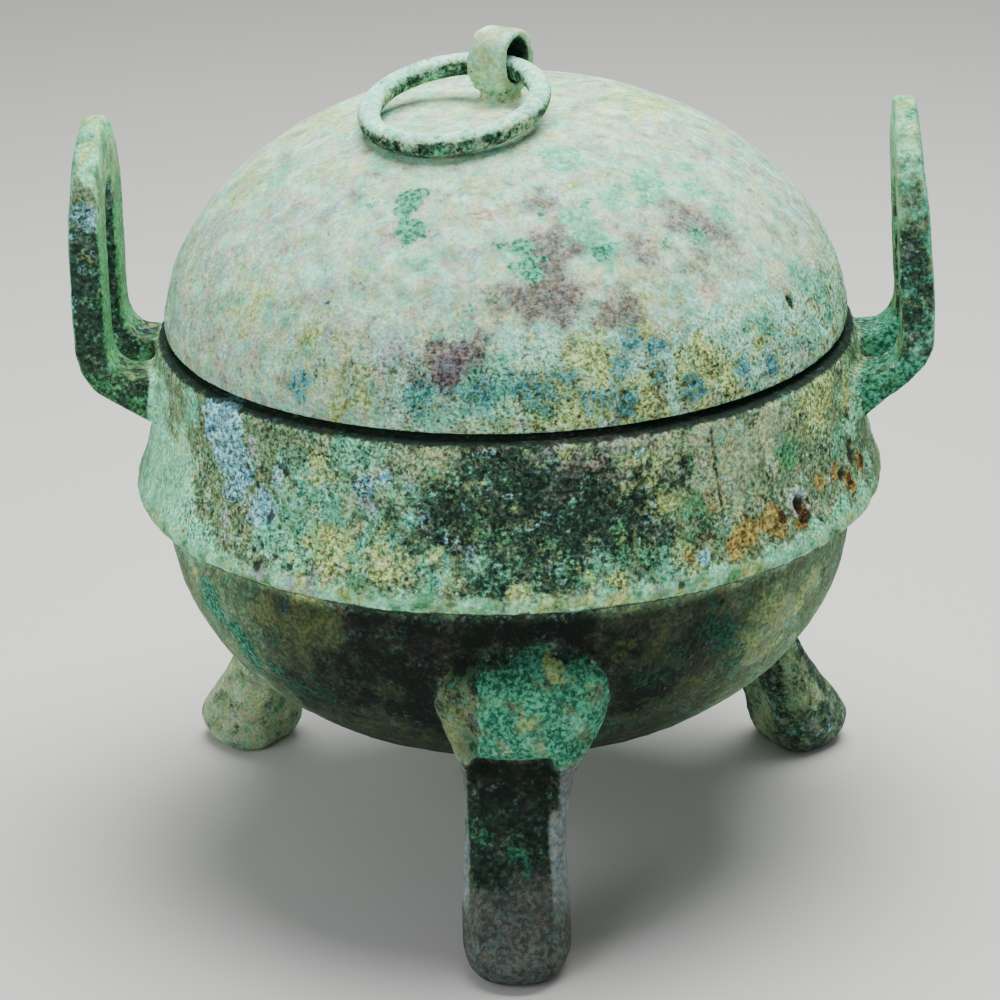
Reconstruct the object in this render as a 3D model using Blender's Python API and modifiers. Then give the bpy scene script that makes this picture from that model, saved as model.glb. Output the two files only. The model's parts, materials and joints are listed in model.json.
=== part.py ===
"""A small bronze tripod food vessel: bowl with two upright ears and three
hoofed legs in one casting, a domed lid that rests on it, and a loose ring
through the lug on top of the lid. Metres, +Z up, feet on z = 0, front leg
towards -Y, ears on the X axis."""

import math

import bmesh
import bpy
from mathutils import Matrix, Vector

mm = 0.001

# Smallest clear gap between two pieces that touch in the real object.
touchGap = 0.3 * mm

# Sides of every turned surface.
turnedSides = 48

# Bowl, outer side.
shoulderRadius = 74.0 * mm
shoulderHeight = 115.9 * mm
wallFlare = 2.6 * mm
flangeRadius = 80.0 * mm
flangeTop = 85.2 * mm
flangeUnderside = 81.3 * mm
bellyRadius = 73.6 * mm
bellyTop = 79.3 * mm
bellyBottom = 26.2 * mm
bellyFullness = 2.2

# Bowl, wall and mouth. The lip stands up inside the ledge and carries the lid.
wallThickness = 2.8 * mm
bellyThickness = 3.0 * mm
lipOuterRadius = 69.3 * mm
lipInnerRadius = 66.8 * mm
lipHeight = 6.0 * mm
ledgeThickness = 3.0 * mm

# Lid.
lidRadius = 72.2 * mm
lidRimLift = 1.5 * mm
domeHeight = 47.4 * mm
domeFullness = 1.97
domeFullHeight = 50.5 * mm
domeShoulder = 34.5 * mm
domeFlatness = 4.0
lidThickness = 2.7 * mm
lipClearance = 0.7 * mm
seatWidth = 2.4 * mm
seatDepth = 3.6 * mm

# Ears: an upright arch on two bent arms. They stand off from the shoulder, and
# their rises and drops are taken from the shoulder's height.
earStandoff = 15.8 * mm
earThickness = 6.9 * mm
earRises = (48.5 * mm, 45.8 * mm)
earLeans = (1.9 * mm, -0.2 * mm)
earCornerWear = (1.5 * mm, 0.0)
earHalfWidth = 19.0 * mm
earArchRise = 22.7 * mm
earSlotHalf = 6.0 * mm
earBridge = 13.5 * mm
earSlotRise = 8.0 * mm
earRootSink = 1.8 * mm
earBendDrop = 3.9 * mm
earArmTopDrop = 5.6 * mm
earArmFootDrop = 15.4 * mm

# Legs: hoof, recessed shaft and bulging knee. Angles are taken from +X, the toes
# reach past the flange, and the other reaches are taken from the belly's radius.
legAngles = (-87.8, 32.0, 147.0)
legToeOverhangs = (4.5 * mm, 6.5 * mm, 7.5 * mm)
kneeShifts = (2.0 * mm, 0.0, 0.0)
hoofHalfWidth = 11.3 * mm
shaftHalfWidth = 10.6 * mm
kneeHalfWidth = 17.6 * mm
kneeProud = 5.2 * mm
shaftInset = 3.6 * mm
kneeBottom = 48.5 * mm
kneeTopDrop = 3.8 * mm
legBackInset = 6.6 * mm
legBackLean = 0.22
legBackNarrow = 0.64

# The front hoof reaches further out than the flange, so the vessel's axis
# stands this far behind the middle of the whole outline, which is the origin.
frontToe = (flangeRadius + legToeOverhangs[0]) * math.cos(math.radians(legAngles[0] + 90.0))
axisBack = 0.5 * (frontToe - flangeRadius)

# Lug on the lid, and its loose ring. The rises are taken from the dome's top.
lugAngle = -31.0
lugWidth = 8.8 * mm
lugRise = 15.4 * mm
lugOuterHalf = 5.8 * mm
lugHoleHalf = 3.8 * mm
lugHoleTopRise = 13.7 * mm
lugHoleBottomRise = 4.7 * mm
lugBottomRise = 2.7 * mm
lugStemHalf = 3.5 * mm
lugFootHalf = 5.2 * mm
ringRadius = 17.7 * mm
ringWire = 4.7 * mm
ringAngle = -121.0
ringPivotRise = 7.5 * mm
ringTurns = 32
ringWireSides = 10

# Sizes that follow from the ones above.
earReach = shoulderRadius + earStandoff
earRoot = shoulderRadius - earRootSink
earTops = tuple(shoulderHeight + rise for rise in earRises)
earBend = shoulderHeight - earBendDrop
earArmTop = shoulderHeight - earArmTopDrop
earArmFoot = shoulderHeight - earArmFootDrop
legToeRadii = tuple(flangeRadius + overhang for overhang in legToeOverhangs)
kneeReach = bellyRadius + kneeProud
shaftReach = bellyRadius - shaftInset
kneeTop = bellyTop - kneeTopDrop
legBackRadius = bellyRadius - legBackInset
domeTop = shoulderHeight + lidRimLift + domeHeight
lugTop = domeTop + lugRise
lugHoleTop = domeTop + lugHoleTopRise
lugHoleBottom = domeTop + lugHoleBottomRise
lugBottom = domeTop + lugBottomRise
ringPivotHeight = domeTop + ringPivotRise

# Levels at which the turned profiles have points: down the wall, as shares of its
# height, and along the dome, as shares of its radius.
wallShares = (0.055, 0.257, 0.485, 0.68, 0.81, 0.91, 0.967)
innerWallShares = (0.65, 0.275)
domeShares = (0.166, 0.291, 0.402, 0.499, 0.596, 0.693, 0.776, 0.852, 0.914, 0.96, 0.986)
innerDomeShares = (0.935, 0.863, 0.777, 0.676, 0.561, 0.432, 0.288)


def clearScene():
    for old in list(bpy.data.objects):
        bpy.data.objects.remove(old, do_unlink=True)


def makeCollection(name):
    made = bpy.data.collections.new(name)
    bpy.context.scene.collection.children.link(made)
    return made


def makeObject(name, bm, collection):
    mesh = bpy.data.meshes.new(name)
    bm.to_mesh(mesh)
    bm.free()
    made = bpy.data.objects.new(name, mesh)
    collection.objects.link(made)
    return made


def metal(name, colour, roughness):
    made = bpy.data.materials.new(name)
    made.use_nodes = True
    shader = made.node_tree.nodes["Principled BSDF"]
    shader.inputs["Base Color"].default_value = (*colour, 1.0)
    shader.inputs["Metallic"].default_value = 0.2
    shader.inputs["Roughness"].default_value = roughness
    made.diffuse_color = (*colour, 1.0)
    return made


def arc(count, start, end):
    """Angles from start to end, both ends included."""
    return [start + (end - start) * i / (count - 1) for i in range(count)]


def superRound(angle, fullness):
    """A point of the unit superellipse, as cosine and sine side."""
    across = abs(math.cos(angle)) ** (2.0 / fullness)
    along = abs(math.sin(angle)) ** (2.0 / fullness)
    return across, along


def bellyOuter(z):
    """Outer radius of the belly at a height below its top."""
    depth = min(max((bellyTop - z) / (bellyTop - bellyBottom), 0.0), 1.0)
    return bellyRadius * (1.0 - depth ** bellyFullness) ** (1.0 / bellyFullness)


def wallOuter(z):
    """Outer radius of the upright wall, which flares into the flange."""
    down = (shoulderHeight - z) / (shoulderHeight - flangeTop)
    flare = flangeRadius - 0.5 * mm - shoulderRadius - wallFlare
    return shoulderRadius + wallFlare * down + flare * down ** 4


def wallLevel(share):
    """Height of a level of the wall, as a share of the way down from the shoulder."""
    return shoulderHeight - share * (shoulderHeight - flangeTop)


def domeSurface(radius, inset=0.0):
    """Height of the dome at a radius, or of the same dome set in by a wall."""
    base = shoulderHeight + lidRimLift
    full = lidRadius - inset
    rise = domeFullHeight - inset
    out = min(max(radius / full, 0.0), 1.0)
    height = base + rise * (1.0 - out ** domeFullness) ** (1.0 / domeFullness)
    if radius >= domeShoulder:
        return height
    top = base + domeHeight - inset
    edge = domeSurface(domeShoulder, inset)
    return top - (top - edge) * (radius / domeShoulder) ** domeFlatness


def bowlProfile():
    """Half section of the bowl, from the inside bottom over the lip to the outside bottom."""
    points = []
    innerRadius = bellyRadius - bellyThickness
    innerDepth = bellyTop - bellyBottom - bellyThickness
    for angle in arc(9, math.pi / 2, 0.0):
        across, along = superRound(angle, bellyFullness)
        points.append((innerRadius * across, bellyTop - innerDepth * along))
    points[0] = (0.0, points[0][1])
    for share in innerWallShares:
        level = wallLevel(share)
        points.append((wallOuter(level) - wallThickness - 1.5 * mm * share, level))
    points.append((lipInnerRadius + 1.4 * mm, shoulderHeight - ledgeThickness - 1.2 * mm))
    points.append((lipInnerRadius, shoulderHeight - ledgeThickness + 0.6 * mm))
    points.append((lipInnerRadius, shoulderHeight + lipHeight - 0.5 * mm))
    points.append((lipInnerRadius + 0.5 * mm, shoulderHeight + lipHeight))
    points.append((lipOuterRadius - 0.5 * mm, shoulderHeight + lipHeight))
    points.append((lipOuterRadius, shoulderHeight + lipHeight - 0.5 * mm))
    points.append((lipOuterRadius, shoulderHeight + 0.2 * mm))
    points.append((shoulderRadius - 0.9 * mm, shoulderHeight + 0.2 * mm))
    points.append((shoulderRadius - 0.2 * mm, shoulderHeight - 0.3 * mm))
    for share in wallShares:
        level = wallLevel(share)
        points.append((wallOuter(level), level))
    points.append((flangeRadius, flangeTop - 0.4 * mm))
    points.append((flangeRadius, flangeUnderside + 1.5 * mm))
    points.append((flangeRadius - 0.9 * mm, flangeUnderside + 0.4 * mm))
    points.append((flangeRadius - 3.0 * mm, flangeUnderside))
    points.append((bellyRadius + 0.7 * mm, flangeUnderside - 0.5 * mm))
    for angle in arc(11, 0.0, math.pi / 2):
        across, along = superRound(angle, bellyFullness)
        depth = bellyTop - bellyBottom
        points.append((bellyRadius * across, bellyTop - depth * along))
    points[-1] = (0.0, bellyBottom)
    return points


def lidProfile():
    """Half section of the lid, from the outside top down to the rim and back up inside."""
    base = shoulderHeight + lidRimLift
    seat = shoulderHeight + lipHeight + touchGap
    points = [(0.0, domeSurface(0.0))]
    for share in domeShares:
        points.append((share * lidRadius, domeSurface(share * lidRadius)))
    points.append((lidRadius, base + 4.5 * mm))
    points.append((lidRadius, base + 0.5 * mm))
    points.append((lidRadius - 0.4 * mm, base))
    boreRadius = lipOuterRadius + lipClearance
    points.append((boreRadius + 0.3 * mm, base))
    points.append((boreRadius, base + 0.4 * mm))
    points.append((boreRadius, seat))
    points.append((boreRadius - seatWidth, seat))
    points.append((boreRadius - seatWidth - 0.4 * mm, seat + seatDepth))
    innerRadius = lidRadius - lidThickness
    for share in innerDomeShares:
        points.append((share * innerRadius, domeSurface(share * innerRadius, lidThickness)))
    points.append((0.0, domeSurface(0.0, lidThickness)))
    return points


def turned(name, profile, collection):
    """A body turned about Z from a half section in the XZ plane."""
    bm = bmesh.new()
    verts = [bm.verts.new((radius, 0.0, z)) for radius, z in profile]
    for first, second in zip(verts, verts[1:]):
        bm.edges.new((first, second))
    made = makeObject(name, bm, collection)
    screw = made.modifiers.new("turned about the axis", "SCREW")
    screw.axis = "Z"
    screw.angle = math.tau
    screw.steps = turnedSides
    screw.render_steps = turnedSides
    screw.use_merge_vertices = True
    screw.merge_threshold = 0.00005
    screw.use_normal_calculate = False
    return made


def closedLoft(sections):
    """A closed solid through equal loops of points, bottom loop first, capped at both ends."""
    bm = bmesh.new()
    loops = [[bm.verts.new(point) for point in section] for section in sections]
    count = len(loops[0])
    for lower, upper in zip(loops, loops[1:]):
        for i in range(count):
            j = (i + 1) % count
            bm.faces.new((lower[i], lower[j], upper[j], upper[i]))
    bm.faces.new(list(reversed(loops[0])))
    bm.faces.new(loops[-1])
    bmesh.ops.recalc_face_normals(bm, faces=bm.faces)
    return bm


def helper(name, bm, collection):
    made = makeObject(name, bm, collection)
    made.hide_render = True
    made.display_type = "WIRE"
    return made


def joinBy(target, other, operation):
    step = target.modifiers.new(operation.lower() + " " + other.name, "BOOLEAN")
    step.operation = operation
    step.solver = "EXACT"
    step.object = other


def earSide(top, lean, wear):
    """Side section of an ear in the XZ plane, from the arm's root out and up, and back down inside."""
    inner = earReach - earThickness
    return [
        (earRoot, earArmFoot - 1.0 * mm),
        (shoulderRadius + 1.4 * mm, earArmFoot + 0.3 * mm),
        (earReach - 9.4 * mm - 0.4 * wear, earArmFoot + 3.3 * mm + 0.6 * wear),
        (earReach - 4.2 * mm - wear, earBend - 5.0 * mm + 0.6 * wear),
        (earReach - 1.2 * mm - 0.7 * wear, earBend - 0.9 * mm + 0.4 * wear),
        (earReach - 0.2 * mm, earBend + 3.5 * mm),
        (earReach, earBend + 12.0 * mm),
        (earReach - 0.4 * mm - 0.6 * lean, top - 20.0 * mm),
        (earReach - 1.2 * mm - 0.9 * lean, top - 8.0 * mm),
        (earReach - 2.0 * mm - lean, top + 2.0 * mm),
        (inner + 0.3 * mm - lean, top + 2.0 * mm),
        (inner - 0.7 * lean, top - 14.0 * mm),
        (inner, earBend + 4.0 * mm),
        (inner - 0.9 * mm, earBend + 0.8 * mm),
        (inner - 3.2 * mm, earArmTop + 0.2 * mm),
        (earRoot, earArmTop - 0.2 * mm),
    ]


def archOutline(half, bottom, top, rise, count):
    """An upright outline in the YZ plane with an elliptical head."""
    points = [(-half, bottom)]
    for angle in arc(count, math.pi, 0.0):
        points.append((half * math.cos(angle), top - rise + rise * math.sin(angle)))
    points.append((half, bottom))
    return points


def prismAlongX(outline, start, end):
    return closedLoft(
        [[(x, y, z) for y, z in outline] for x in (start, end)]
    )


def makeEar(name, angle, top, lean, wear, collection):
    side = earSide(top, lean, wear)
    reach = 1.5 * earHalfWidth
    bm = closedLoft([[(x, y, z) for x, z in side] for y in (-reach, reach)])
    ear = helper(name, bm, collection)
    below = earArmFoot - earHalfWidth
    inside = earRoot - earHalfWidth
    outside = earReach + earHalfWidth
    outline = archOutline(earHalfWidth, below, top, earArchRise, 15)
    head = helper(name + " outline", prismAlongX(outline, inside, outside), collection)
    slotOutline = archOutline(earSlotHalf, below, top - earBridge, earSlotRise, 9)
    slotStart = wallOuter(0.5 * (earArmTop + earArmFoot)) + 0.1 * mm
    slot = helper(name + " slot", prismAlongX(slotOutline, slotStart, outside), collection)
    joinBy(ear, head, "INTERSECT")
    joinBy(ear, slot, "DIFFERENCE")
    turn = Matrix.Rotation(math.radians(angle), 4, "Z")
    for piece in (ear, head, slot):
        piece.data.transform(turn)
    return ear


def legStations(toe):
    """Height, half width and front radius up the leg, from the sole to the top of the knee."""
    return [
        (0.0, hoofHalfWidth - 3.2 * mm, toe - 5.0 * mm),
        (1.5 * mm, hoofHalfWidth - 1.4 * mm, toe - 2.2 * mm),
        (4.0 * mm, hoofHalfWidth - 0.3 * mm, toe - 0.4 * mm),
        (6.5 * mm, hoofHalfWidth, toe),
        (11.0 * mm, hoofHalfWidth, toe - 2.8 * mm),
        (17.0 * mm, hoofHalfWidth - 0.3 * mm, toe - 7.2 * mm),
        (24.0 * mm, shaftHalfWidth, toe - 10.8 * mm),
        (32.0 * mm, shaftHalfWidth, shaftReach + 1.0 * mm),
        (40.0 * mm, shaftHalfWidth + 0.9 * mm, shaftReach),
        (kneeBottom - 3.0 * mm, shaftHalfWidth + 2.6 * mm, shaftReach + 0.6 * mm),
        (kneeBottom + 0.8 * mm, kneeHalfWidth - 3.2 * mm, kneeReach - 3.4 * mm),
        (kneeBottom + 4.0 * mm, kneeHalfWidth - 1.6 * mm, kneeReach - 0.8 * mm),
        (kneeBottom + 9.5 * mm, kneeHalfWidth, kneeReach),
        (kneeBottom + 16.0 * mm, kneeHalfWidth - 0.4 * mm, kneeReach - 0.9 * mm),
        (kneeBottom + 21.5 * mm, kneeHalfWidth - 3.2 * mm, kneeReach - 2.6 * mm),
        (kneeTop, kneeHalfWidth - 9.0 * mm, kneeReach - 7.3 * mm),
    ]


def legSection(z, half, front, shift):
    """One level of the leg: rounded in front, narrower and flat on the side of the axis."""
    line = legBackRadius - legBackLean * z + 1.5 * mm * max(0.0, 1.0 - z / (2.5 * mm))
    inWall = bellyOuter(z) - 0.5 * bellyThickness
    narrow = legBackNarrow if line > inWall else 1.0

    def back(across):
        return max(line, math.sqrt(max(inWall ** 2 - across ** 2, 0.0)))

    aside = shift * min(max((z - 0.5 * kneeBottom) / (0.6 * kneeBottom), 0.0), 1.0)
    points = []
    depth = front - back(half + abs(aside))
    swell = 0.78 * depth
    for angle in arc(9, 0.0, math.pi):
        over, along = superRound(angle, 2.3)
        across = aside + half * over * (1.0 if angle <= math.pi / 2 else -1.0)
        points.append((front - swell + swell * along, across, z))
    for share in (-1.0, -0.5, 0.0, 0.5, 1.0):
        across = aside + narrow * half * share
        points.append((back(across), across, z))
    return points


def makeLeg(name, angle, toe, shift, collection):
    sections = [legSection(*station, shift) for station in legStations(toe)]
    bm = closedLoft(sections)
    bm.transform(Matrix.Rotation(math.radians(angle), 4, "Z"))
    return helper(name, bm, collection)


def makeLug(collection):
    """The strap-like lug: a loop on a short flared stem that sinks into the dome."""
    half = 0.5 * lugWidth
    rise = lugOuterHalf + 0.6 * mm
    outline = []
    for angle in arc(11, math.pi, 0.0):
        across, along = superRound(angle, 2.5)
        side = -1.0 if angle > math.pi / 2 else 1.0
        outline.append((side * lugOuterHalf * across, lugTop - rise + rise * along))
    outline += [
        (lugOuterHalf, lugBottom + 3.2 * mm),
        (lugStemHalf + 0.5 * mm, lugBottom),
        (-lugStemHalf - 0.5 * mm, lugBottom),
        (-lugOuterHalf, lugBottom + 3.2 * mm),
    ]
    loop = helper("lug loop", prismAlongX(outline, -half, half), collection)
    holeRise = lugHoleHalf + 0.4 * mm
    holeMiddle = 0.5 * (lugHoleTop + lugHoleBottom)
    holeHalf = 0.5 * (lugHoleTop - lugHoleBottom)
    hole = []
    for i in range(16):
        angle = math.tau * i / 16
        across, along = superRound(angle, 2.6)
        across *= 1.0 if math.cos(angle) >= 0.0 else -1.0
        along *= 1.0 if math.sin(angle) >= 0.0 else -1.0
        hole.append((lugHoleHalf * across, holeMiddle + holeHalf * along))
    cut = helper("lug hole", prismAlongX(hole, -3.0 * half, 3.0 * half), collection)
    levels = (
        (domeTop - 0.5 * lidThickness, lugFootHalf + 0.3 * mm),
        (domeTop - 0.2 * mm, lugFootHalf),
        (domeTop + 0.7 * mm, lugStemHalf + 0.3 * mm),
        (lugBottom + 1.0 * mm, lugStemHalf),
    )
    sections = []
    for z, size in levels:
        ringOf = []
        for i in range(12):
            angle = math.tau * (i + 0.5) / 12
            across, along = superRound(angle, 3.0)
            across *= 1.0 if math.cos(angle) >= 0.0 else -1.0
            along *= 1.0 if math.sin(angle) >= 0.0 else -1.0
            ringOf.append((size * across, size * along, z))
        sections.append(ringOf)
    stem = helper("lug stem", closedLoft(sections), collection)
    turn = Matrix.Rotation(math.radians(lugAngle), 4, "Z")
    for piece in (loop, cut, stem):
        piece.data.transform(turn)
    joinBy(loop, cut, "DIFFERENCE")
    return loop, stem


def ringForward():
    """Level direction in which the ring lies, away from the lug."""
    angle = math.radians(ringAngle)
    return Vector((math.cos(angle), math.sin(angle), 0.0))


def ringPivot():
    """Middle of the wire inside the lug."""
    return Vector((0.0, 0.0, ringPivotHeight))


def ringDip():
    """Angle below level at which the ring, held in the lug, comes to lie on the dome."""
    forward = ringForward()
    side = Vector((-forward.y, forward.x, 0.0))

    def clearance(dip):
        least = 1.0
        down = forward * math.cos(dip) - Vector((0.0, 0.0, math.sin(dip)))
        for i in range(25, 75):
            angle = math.tau * i / 100
            reach = ringRadius * (1.0 - math.cos(angle))
            point = ringPivot() + down * reach + side * (ringRadius * math.sin(angle))
            radius = math.hypot(point.x, point.y)
            slope = (domeSurface(radius) - domeSurface(radius + 1e-4)) / 1e-4
            away = (point.z - domeSurface(radius)) / math.sqrt(1.0 + slope ** 2)
            least = min(least, away)
        return least - 0.5 * ringWire - touchGap

    low, high = 0.0, math.radians(40.0)
    for _ in range(40):
        middle = 0.5 * (low + high)
        if clearance(middle) > 0.0:
            low = middle
        else:
            high = middle
    return low


def makeRing(collection):
    forward = ringForward()
    dip = ringDip()
    direction = forward * math.cos(dip) - Vector((0.0, 0.0, math.sin(dip)))
    side = Vector((-forward.y, forward.x, 0.0))
    lay = Matrix((direction, side, direction.cross(side))).transposed().to_4x4()
    bpy.ops.mesh.primitive_torus_add(
        location=(0.0, 0.0, 0.0),
        major_radius=ringRadius,
        minor_radius=0.5 * ringWire,
        major_segments=ringTurns,
        minor_segments=ringWireSides,
    )
    ring = bpy.context.active_object
    ring.name = "ring"
    ring.data.transform(Matrix.Translation(direction * ringRadius) @ lay)
    for holder in list(ring.users_collection):
        holder.objects.unlink(ring)
    collection.objects.link(ring)
    ring.location = ringPivot()
    return ring


def softenShading(made, degrees):
    for polygon in made.data.polygons:
        polygon.use_smooth = True
    bpy.context.view_layer.objects.active = made
    made.select_set(True)
    made.data.set_sharp_from_angle(angle=math.radians(degrees))
    made.select_set(False)


def build():
    clearScene()
    parts = makeCollection("bronze_ding")
    helpers = makeCollection("construction")
    helpers.hide_render = True

    axis = bpy.data.objects.new("vessel_axis", None)
    axis.location = (0.0, axisBack, 0.0)
    parts.objects.link(axis)

    vessel = turned("vessel", bowlProfile(), parts)
    for i, (name, angle) in enumerate((("ear right", 0.0), ("ear left", 180.0))):
        ear = makeEar(name, angle, earTops[i], earLeans[i], earCornerWear[i], helpers)
        joinBy(vessel, ear, "UNION")
    for i, name in enumerate(("leg front", "leg right", "leg left")):
        leg = makeLeg(name, legAngles[i], legToeRadii[i], kneeShifts[i], helpers)
        joinBy(vessel, leg, "UNION")
    vessel.data.materials.append(metal("vessel_bronze", (0.20, 0.33, 0.26), 0.75))

    lid = turned("lid", lidProfile(), parts)
    loop, stem = makeLug(helpers)
    joinBy(lid, stem, "UNION")
    joinBy(lid, loop, "UNION")
    lid.data.materials.append(metal("lid_bronze", (0.42, 0.52, 0.42), 0.75))

    ring = makeRing(parts)
    ring.data.materials.append(metal("ring_bronze", (0.40, 0.55, 0.48), 0.7))
    softenShading(ring, 60.0)

    for piece in list(parts.objects) + list(helpers.objects):
        if piece is not axis:
            piece.parent = axis
    bpy.context.view_layer.update()
    print("ring dip in degrees", round(math.degrees(ringDip()), 2))
    print("ring pivot in mm", [round(v / mm, 3) for v in ring.matrix_world.translation])
    print("axis behind the origin in mm", round(axisBack / mm, 3))


build()
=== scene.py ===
import json
import math

import bmesh
import bpy
import numpy as np
from mathutils import Matrix, Vector, noise


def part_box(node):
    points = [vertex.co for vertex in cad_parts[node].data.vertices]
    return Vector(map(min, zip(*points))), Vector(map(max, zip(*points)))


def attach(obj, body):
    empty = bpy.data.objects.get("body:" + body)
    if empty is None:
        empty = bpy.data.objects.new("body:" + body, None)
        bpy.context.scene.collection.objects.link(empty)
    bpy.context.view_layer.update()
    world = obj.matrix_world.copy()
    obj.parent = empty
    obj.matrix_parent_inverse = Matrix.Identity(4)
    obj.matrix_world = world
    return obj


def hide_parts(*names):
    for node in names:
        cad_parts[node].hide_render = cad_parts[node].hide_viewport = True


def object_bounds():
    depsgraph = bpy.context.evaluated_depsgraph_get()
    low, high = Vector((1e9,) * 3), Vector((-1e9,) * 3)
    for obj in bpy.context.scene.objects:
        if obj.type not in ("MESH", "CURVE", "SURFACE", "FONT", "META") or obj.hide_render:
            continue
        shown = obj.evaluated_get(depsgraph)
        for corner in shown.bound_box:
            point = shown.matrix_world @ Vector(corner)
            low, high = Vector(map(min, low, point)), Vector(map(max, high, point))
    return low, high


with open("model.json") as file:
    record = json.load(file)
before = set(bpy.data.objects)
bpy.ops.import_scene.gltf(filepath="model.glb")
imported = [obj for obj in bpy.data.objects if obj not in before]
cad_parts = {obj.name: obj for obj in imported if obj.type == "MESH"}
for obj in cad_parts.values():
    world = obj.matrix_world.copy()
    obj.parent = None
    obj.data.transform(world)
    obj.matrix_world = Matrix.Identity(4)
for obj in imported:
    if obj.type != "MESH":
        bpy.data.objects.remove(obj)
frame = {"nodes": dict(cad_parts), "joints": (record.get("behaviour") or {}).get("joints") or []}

mm = 0.001
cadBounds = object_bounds()

# sizes are in millimetres, measured from the vessel's turning axis and from the ground
bowl = {
    "shoulderRadius": 74.0, "shoulderTop": 116.1, "wallFlare": 2.6,
    "flangeRadius": 80.0, "flangeTop": 85.2, "flangeUnderside": 81.3,
    "bellyRadius": 73.6, "bellyTop": 79.3, "bellyBottom": 26.2, "bellyFullness": 2.2,
    "wall": 2.8, "lipOuter": 69.3, "lipInner": 66.8, "lipTop": 121.9, "ledge": 3.0,
    "skin": 0.85, "splitHeight": 80.3,
}
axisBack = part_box("vessel")[1].y / mm - bowl["flangeRadius"]


def toObject(name, bm):
    mesh = bpy.data.meshes.new(name)
    bm.to_mesh(mesh)
    bm.free()
    made = bpy.data.objects.new(name, mesh)
    bpy.context.scene.collection.objects.link(made)
    return made


def settle(made):  # live modifiers become plain mesh
    graph = bpy.context.evaluated_depsgraph_get()
    mesh = bpy.data.meshes.new_from_object(made.evaluated_get(graph))
    made.modifiers.clear()
    made.data = mesh
    return made


def combine(target, other, operation):
    step = target.modifiers.new(operation, "BOOLEAN")
    step.operation = operation
    step.solver = "MANIFOLD"
    step.object = other
    settle(target)
    bpy.data.objects.remove(other)
    return target


def joined(name, pieces):  # loose closed shells in one mesh, made one skin by the voxel step
    bm = bmesh.new()
    for piece in pieces:
        bm.from_mesh(piece.data)
        bpy.data.objects.remove(piece)
    return toObject(name, bm)


def skinned(made, size, rounds):
    step = made.modifiers.new("skin", "REMESH")
    step.mode = "VOXEL"
    step.voxel_size = size
    settle(made)
    bm = bmesh.new()
    bm.from_mesh(made.data)
    for _ in range(rounds):
        bmesh.ops.smooth_vert(bm, verts=bm.verts, factor=0.5,
                              use_axis_x=True, use_axis_y=True, use_axis_z=True)
    bm.to_mesh(made.data)
    bm.free()
    return made


def spun(name, outline, steps=192):
    bm = bmesh.new()
    verts = [bm.verts.new((radius, 0.0, z)) for radius, z in outline]
    edges = [bm.edges.new(pair) for pair in zip(verts, verts[1:])]
    bmesh.ops.spin(bm, geom=verts + edges, cent=(0, 0, 0), axis=(0, 0, 1), angle=math.tau,
                   steps=steps, use_merge=True)
    bmesh.ops.remove_doubles(bm, verts=bm.verts, dist=0.001)
    bmesh.ops.recalc_face_normals(bm, faces=bm.faces)
    return toObject(name, bm)


def prism(name, outline, start, end):  # a flat outline in the YZ plane drawn out along X
    bm = bmesh.new()
    face = bm.faces.new([bm.verts.new((start, y, z)) for y, z in outline])
    drawn = bmesh.ops.extrude_face_region(bm, geom=[face], use_keep_orig=True)
    moved = [item for item in drawn["geom"] if isinstance(item, bmesh.types.BMVert)]
    bmesh.ops.translate(bm, verts=moved, vec=(end - start, 0, 0))
    bmesh.ops.recalc_face_normals(bm, faces=bm.faces)
    return toObject(name, bm)


def turn(made, angle):
    made.data.transform(Matrix.Rotation(math.radians(angle), 4, "Z"))
    return made


def place(made):  # from millimetres about the axis to metres in the frame
    made.data.transform(Matrix.Translation((0, axisBack * mm, 0)) @ Matrix.Scale(mm, 4))
    made.data.update()
    return made


def rounded(angle, fullness):
    return (math.copysign(abs(math.cos(angle)) ** (2 / fullness), math.cos(angle)),
            math.copysign(abs(math.sin(angle)) ** (2 / fullness), math.sin(angle)))


def sweepOf(start, end, count):
    return [start + (end - start) * i / (count - 1) for i in range(count)]


def wallRadius(z):
    down = (bowl["shoulderTop"] - 0.2 - z) / (bowl["shoulderTop"] - 0.2 - bowl["flangeTop"])
    flare = bowl["flangeRadius"] - 0.5 - bowl["shoulderRadius"] - bowl["wallFlare"]
    return bowl["shoulderRadius"] + bowl["wallFlare"] * down + flare * down ** 4


def bellyRadius(z):
    depth = min(max((bowl["bellyTop"] - z) / (bowl["bellyTop"] - bowl["bellyBottom"]), 0), 1)
    return bowl["bellyRadius"] * (1 - depth ** bowl["bellyFullness"]) ** (1 / bowl["bellyFullness"])


def bowlOutline():
    top = bowl["shoulderTop"]
    outline = [(0, bowl["lipTop"]), (bowl["lipOuter"] - 0.5, bowl["lipTop"]),
               (bowl["lipOuter"], bowl["lipTop"] - 0.5), (bowl["lipOuter"], top),
               (bowl["shoulderRadius"] - 0.9, top), (bowl["shoulderRadius"] - 0.1, top - 0.5)]
    outline += [(wallRadius(z), z) for z in sweepOf(top - 2.0, bowl["flangeTop"] + 0.6, 24)]
    outline += [(bowl["flangeRadius"], bowl["flangeTop"] - 0.4),
                (bowl["flangeRadius"], bowl["flangeUnderside"] + 1.5),
                (bowl["flangeRadius"] - 0.9, bowl["flangeUnderside"] + 0.4),
                (bowl["flangeRadius"] - 3.0, bowl["flangeUnderside"]),
                (bowl["bellyRadius"] + 0.7, bowl["flangeUnderside"] - 0.5)]
    depth = bowl["bellyTop"] - bowl["bellyBottom"]
    for angle in sweepOf(0, math.pi / 2, 48):
        across, along = rounded(angle, bowl["bellyFullness"])
        outline.append((bowl["bellyRadius"] * across, bowl["bellyTop"] - depth * along))
    outline[-1] = (0, bowl["bellyBottom"])
    return outline


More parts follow.
